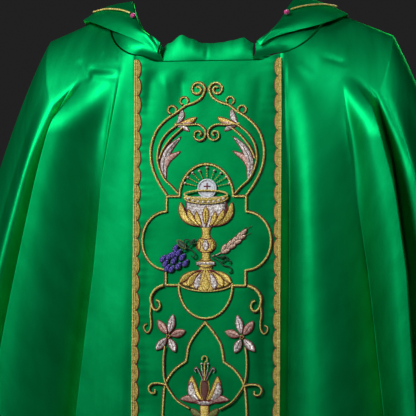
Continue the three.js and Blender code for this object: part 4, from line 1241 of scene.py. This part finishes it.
def draw_vine(piece):
    paths = [
        [(-12, 249), (-20, 251), (-27, 257), (-34, 260)],
        [(-20, 251), (-23, 245), (-29, 245), (-29.5, 250), (-26, 251)],
        [(-24, 256), (-18, 260), (-14, 265), (-17, 269), (-20, 266)],
    ]
    for path in paths:
        cord(piece, curve(path), 0.9, 4.2, VINE, sides=6)
    petal(piece, (-27, 257), (-39, 245), 7.5, VINE, OLIVE, height=3.6)
    petal(piece, (-22, 252), (-14, 243), 5.5, VINE, None, height=3.6)


def draw_wheat(piece):
    stem = curve([(9, 267), (21, 262), (42, 244.7), (51, 234)])
    cord(piece, stem, 0.9, 1.0, WHEAT, sides=6)
    grains = [
        (22.9, 254, -1), (30.3, 248.7, -1), (36.9, 243.6, -1), (43.4, 237.7, -1), (51, 234, 0),
        (27.9, 261.3, 1), (36.2, 255, 1), (43.8, 248.7, 1), (49.6, 242.2, 1)]
    for x, down, row in grains:
        start = (x - 4.2 - 2.2 * row, down + 4.6 - 3 * row)
        petal(piece, start, (x + 5.5, down - 4), 5.6, WHEAT, BROWN, crown=1.6, height=0.8)
        cord(piece, np.array([(x + 5, down - 3.6), (x + 12, down - 9 + 2 * row)]), 0.35, 1.2, BROWN, sides=4)


def draw_tendril(piece):
    paths = [
        [(9, 268), (17.7, 273), (24, 279), (33, 281), (36, 287), (32, 289)],
        [(21, 276), (28, 271.5), (34, 273), (33, 277)],
        [(10, 264), (18, 268), (27, 267), (31, 270)],
    ]
    for path in paths:
        cord(piece, curve(path), 0.9, 2.6, VINE, sides=6)
    petal(piece, (20, 270), (28, 266), 5, VINE, None, height=2.0)


def draw_back_cross(piece):
    centre = 245 + BACK_EMBLEM_SHIFT
    arms = np.column_stack([np.linspace(-48, 48, 90), np.full(90, float(centre))])
    pad(piece, upright(centre - 60, centre + 75, 120), np.full(120, 8.0), 1.4, GOLD, outline=CRIMSON)
    pad(piece, arms, np.full(90, 8.0), 1.4, GOLD, base=0.25, outline=CRIMSON)
    for x, down in ((0, centre - 52), (0, centre + 67), (-40, centre), (40, centre), (0, centre)):
        bead(piece, x, down, 3.0, PEARL, 1.5)


# ---- Collar trim ----
GEM_SHARE = 0.62
GEM_DOWN = 0.12
GEM_RADIUS = 3.8
COLLAR_CORD_LIFT = 3.4


def make_collar_cord(side, name):
    """A short cord that runs down and outwards across a wing."""
    points = []
    for i, down in enumerate((0.14, 0.3, 0.46, 0.62, 0.8)):
        point = fall_point(GEM_SHARE + 0.09 + 0.07 * i, down, side)
        points.append([side * point[0], point[1], point[2] + COLLAR_CORD_LIFT])
    line = curve(points, 1.0)
    tangent = unit(np.gradient(line, axis=0))
    cross = unit(np.cross(tangent, [0, 0, 1.0]))
    up = np.cross(cross, tangent)
    angle = np.linspace(0, 2 * np.pi, 10, endpoint=False)
    gone = np.arange(len(line))[:, None] * 1.0
    ring = CORD_RADIUS * (1 + PLY_DEPTH * np.cos(PLIES * angle - 2 * np.pi * gone / CORD_PITCH))
    piece = Piece(name)
    section = np.stack([ring * np.cos(angle), ring * np.sin(angle)], -1)
    sweep(piece, line, cross, up, section[:, ::-1], HIGHLIT_GOLD)
    register(piece, [name])


def make_gem(side, name):
    """A round gem at the top of a collar cord."""
    spot = fall_point(GEM_SHARE, GEM_DOWN, side) + [0, -1, 5.4]
    spot[0] *= side
    piece = Piece(name)
    turn = np.linspace(0, 2 * np.pi, 12, endpoint=False)
    rows = []
    for angle in np.radians([-88, -60, -30, 0, 25, 45, 60, 88]):
        radius = GEM_RADIUS * math.cos(angle)
        rows.append(np.column_stack([
            spot[0] + radius * np.cos(turn), spot[1] + radius * np.sin(turn),
            np.full(12, spot[2] + GEM_RADIUS * math.sin(angle))]))
    rows = np.array(rows)
    faces = grid_faces(len(rows), 12, closed_columns=True, flip=True)
    piece.add(rows, rows[..., :2], [faces], GEM)
    register(piece, [name])


# ---- The whole garment ----
FRONT_GRID = (330, 300)  # rows and columns of a side panel
BACK_GRID = (200, 160)


def make_garment():
    make_centre_panel(FRONT, "front_centre_panel")
    make_centre_panel(BACK, "back_centre_panel")
    make_collar_sheets()
    make_front_band()
    for side, word in SIDES:
        make_side_panel(FRONT, side, f"front_side_panel_{word}", *FRONT_GRID)
        make_side_panel(BACK, side, f"back_side_panel_{word}", *BACK_GRID)
        make_braid(FRONT, side, f"front_braid_{word}")
        make_edge_cord(FRONT, side, f"front_edge_cord_{word}")
        make_braid(BACK, -side, f"back_braid_{word}")
        make_edge_cord(BACK, -side, f"back_edge_cord_{word}")
        make_collar_cord(side, f"collar_cord_{word}")
        make_gem(side, f"collar_gem_{word}")
    both_sides("upper_scroll", draw_upper_scroll)
    both_sides("inner_stem", draw_inner_stem)
    both_sides("lily", draw_lily)
    both_sides("leaf", draw_leaf)
    both_sides("corner_scroll", draw_corner_scroll)
    both_sides("small_flower", draw_small_flower)
    both_sides("flower_stem", draw_flower_stem)
    sewn_on("quatrefoil_cord", lambda piece: gold_cord(piece, quatrefoil_path(), closed=True))
    sewn_on("ogee_cord", lambda piece: gold_cord(piece, ogee_path(), closed=True))
    sewn_on("tulip", draw_tulip)
    sewn_on("tulip_stamens", draw_stamens)
    sewn_on("chalice_cup", draw_cup)
    sewn_on("chalice_rim", draw_rim)
    sewn_on("pearl_row", draw_pearls)
    sewn_on("chalice_stem", draw_stem)
    sewn_on("chalice_foot", draw_foot)
    sewn_on("host", draw_host)
    sewn_on("host_rays", draw_rays)
    sewn_on("grape_cluster", draw_grapes)
    sewn_on("grape_vine", draw_vine)
    sewn_on("wheat_ear", draw_wheat)
    sewn_on("wheat_tendril", draw_tendril)
    back_ring = quatrefoil_path(BACK_EMBLEM_SHIFT)
    sewn_on("back_quatrefoil_cord", lambda piece: gold_cord(piece, back_ring, closed=True), face=BACK)
    sewn_on("back_cross", draw_back_cross, face=BACK)


# ---- Camera, lights and floor ----
AZIMUTH = math.radians(10)
DISTANCE = 2.35
VIEW_WIDTH = 0.566  # at the front panel
VIEW_CENTRE = (0.003, -0.11, -0.293)
FLOOR = -1.45


def make_camera():
    data = bpy.data.cameras.new("camera")
    camera = bpy.data.objects.new("camera", data)
    bpy.context.scene.collection.objects.link(camera)
    data.sensor_width = 36
    data.lens = data.sensor_width * DISTANCE / VIEW_WIDTH
    x, y, z = VIEW_CENTRE
    camera.location = (x + DISTANCE * math.sin(AZIMUTH), y - DISTANCE * math.cos(AZIMUTH), z)
    camera.rotation_euler = (math.pi / 2, 0, AZIMUTH)
    bpy.context.scene.camera = camera


def area_light(name, location, target, size, power, spread=180):
    data = bpy.data.lights.new(name, "AREA")
    data.shape = "RECTANGLE"
    data.size, data.size_y = size
    data.energy = power
    data.spread = math.radians(spread)
    lamp = bpy.data.objects.new(name, data)
    bpy.context.scene.collection.objects.link(lamp)
    lamp.location = location
    away = Vector(location) - Vector(target)
    lamp.rotation_euler = away.to_track_quat("Z", "Y").to_euler()


def make_room():
    chest = (0, 0, -0.3)
    area_light("key", (-1.05, -1.5, 0.8), (0, -0.1, -0.1), (0.7, 0.6), 16.5, spread=120)
    area_light("shoulder", (1.3, -1.0, 1.1), (0.27, -0.05, -0.04), (0.4, 0.3), 0.42, spread=36)
    area_light("back", (0.3, 2.4, 0.9), chest, (1.4, 1.2), 40)
    world = bpy.data.worlds.new("world")
    world.use_nodes = True
    world.node_tree.nodes["Background"].inputs["Color"].default_value = (0.5, 0.5, 0.52, 1)
    world.node_tree.nodes["Background"].inputs["Strength"].default_value = 0.03
    bpy.context.scene.world = world
    bpy.ops.mesh.primitive_plane_add(size=8, location=(0, 0, FLOOR))
    floor = bpy.context.object
    floor.name = "floor"
    material, _, shader = new_material("floor", Roughness=0.8)
    shader.inputs["Base Color"].default_value = (0.7, 0.7, 0.7, 1)
    floor.data.materials.append(material)
    bpy.context.scene.view_settings.view_transform = "Standard"


make_camera()
make_garment()
make_room()
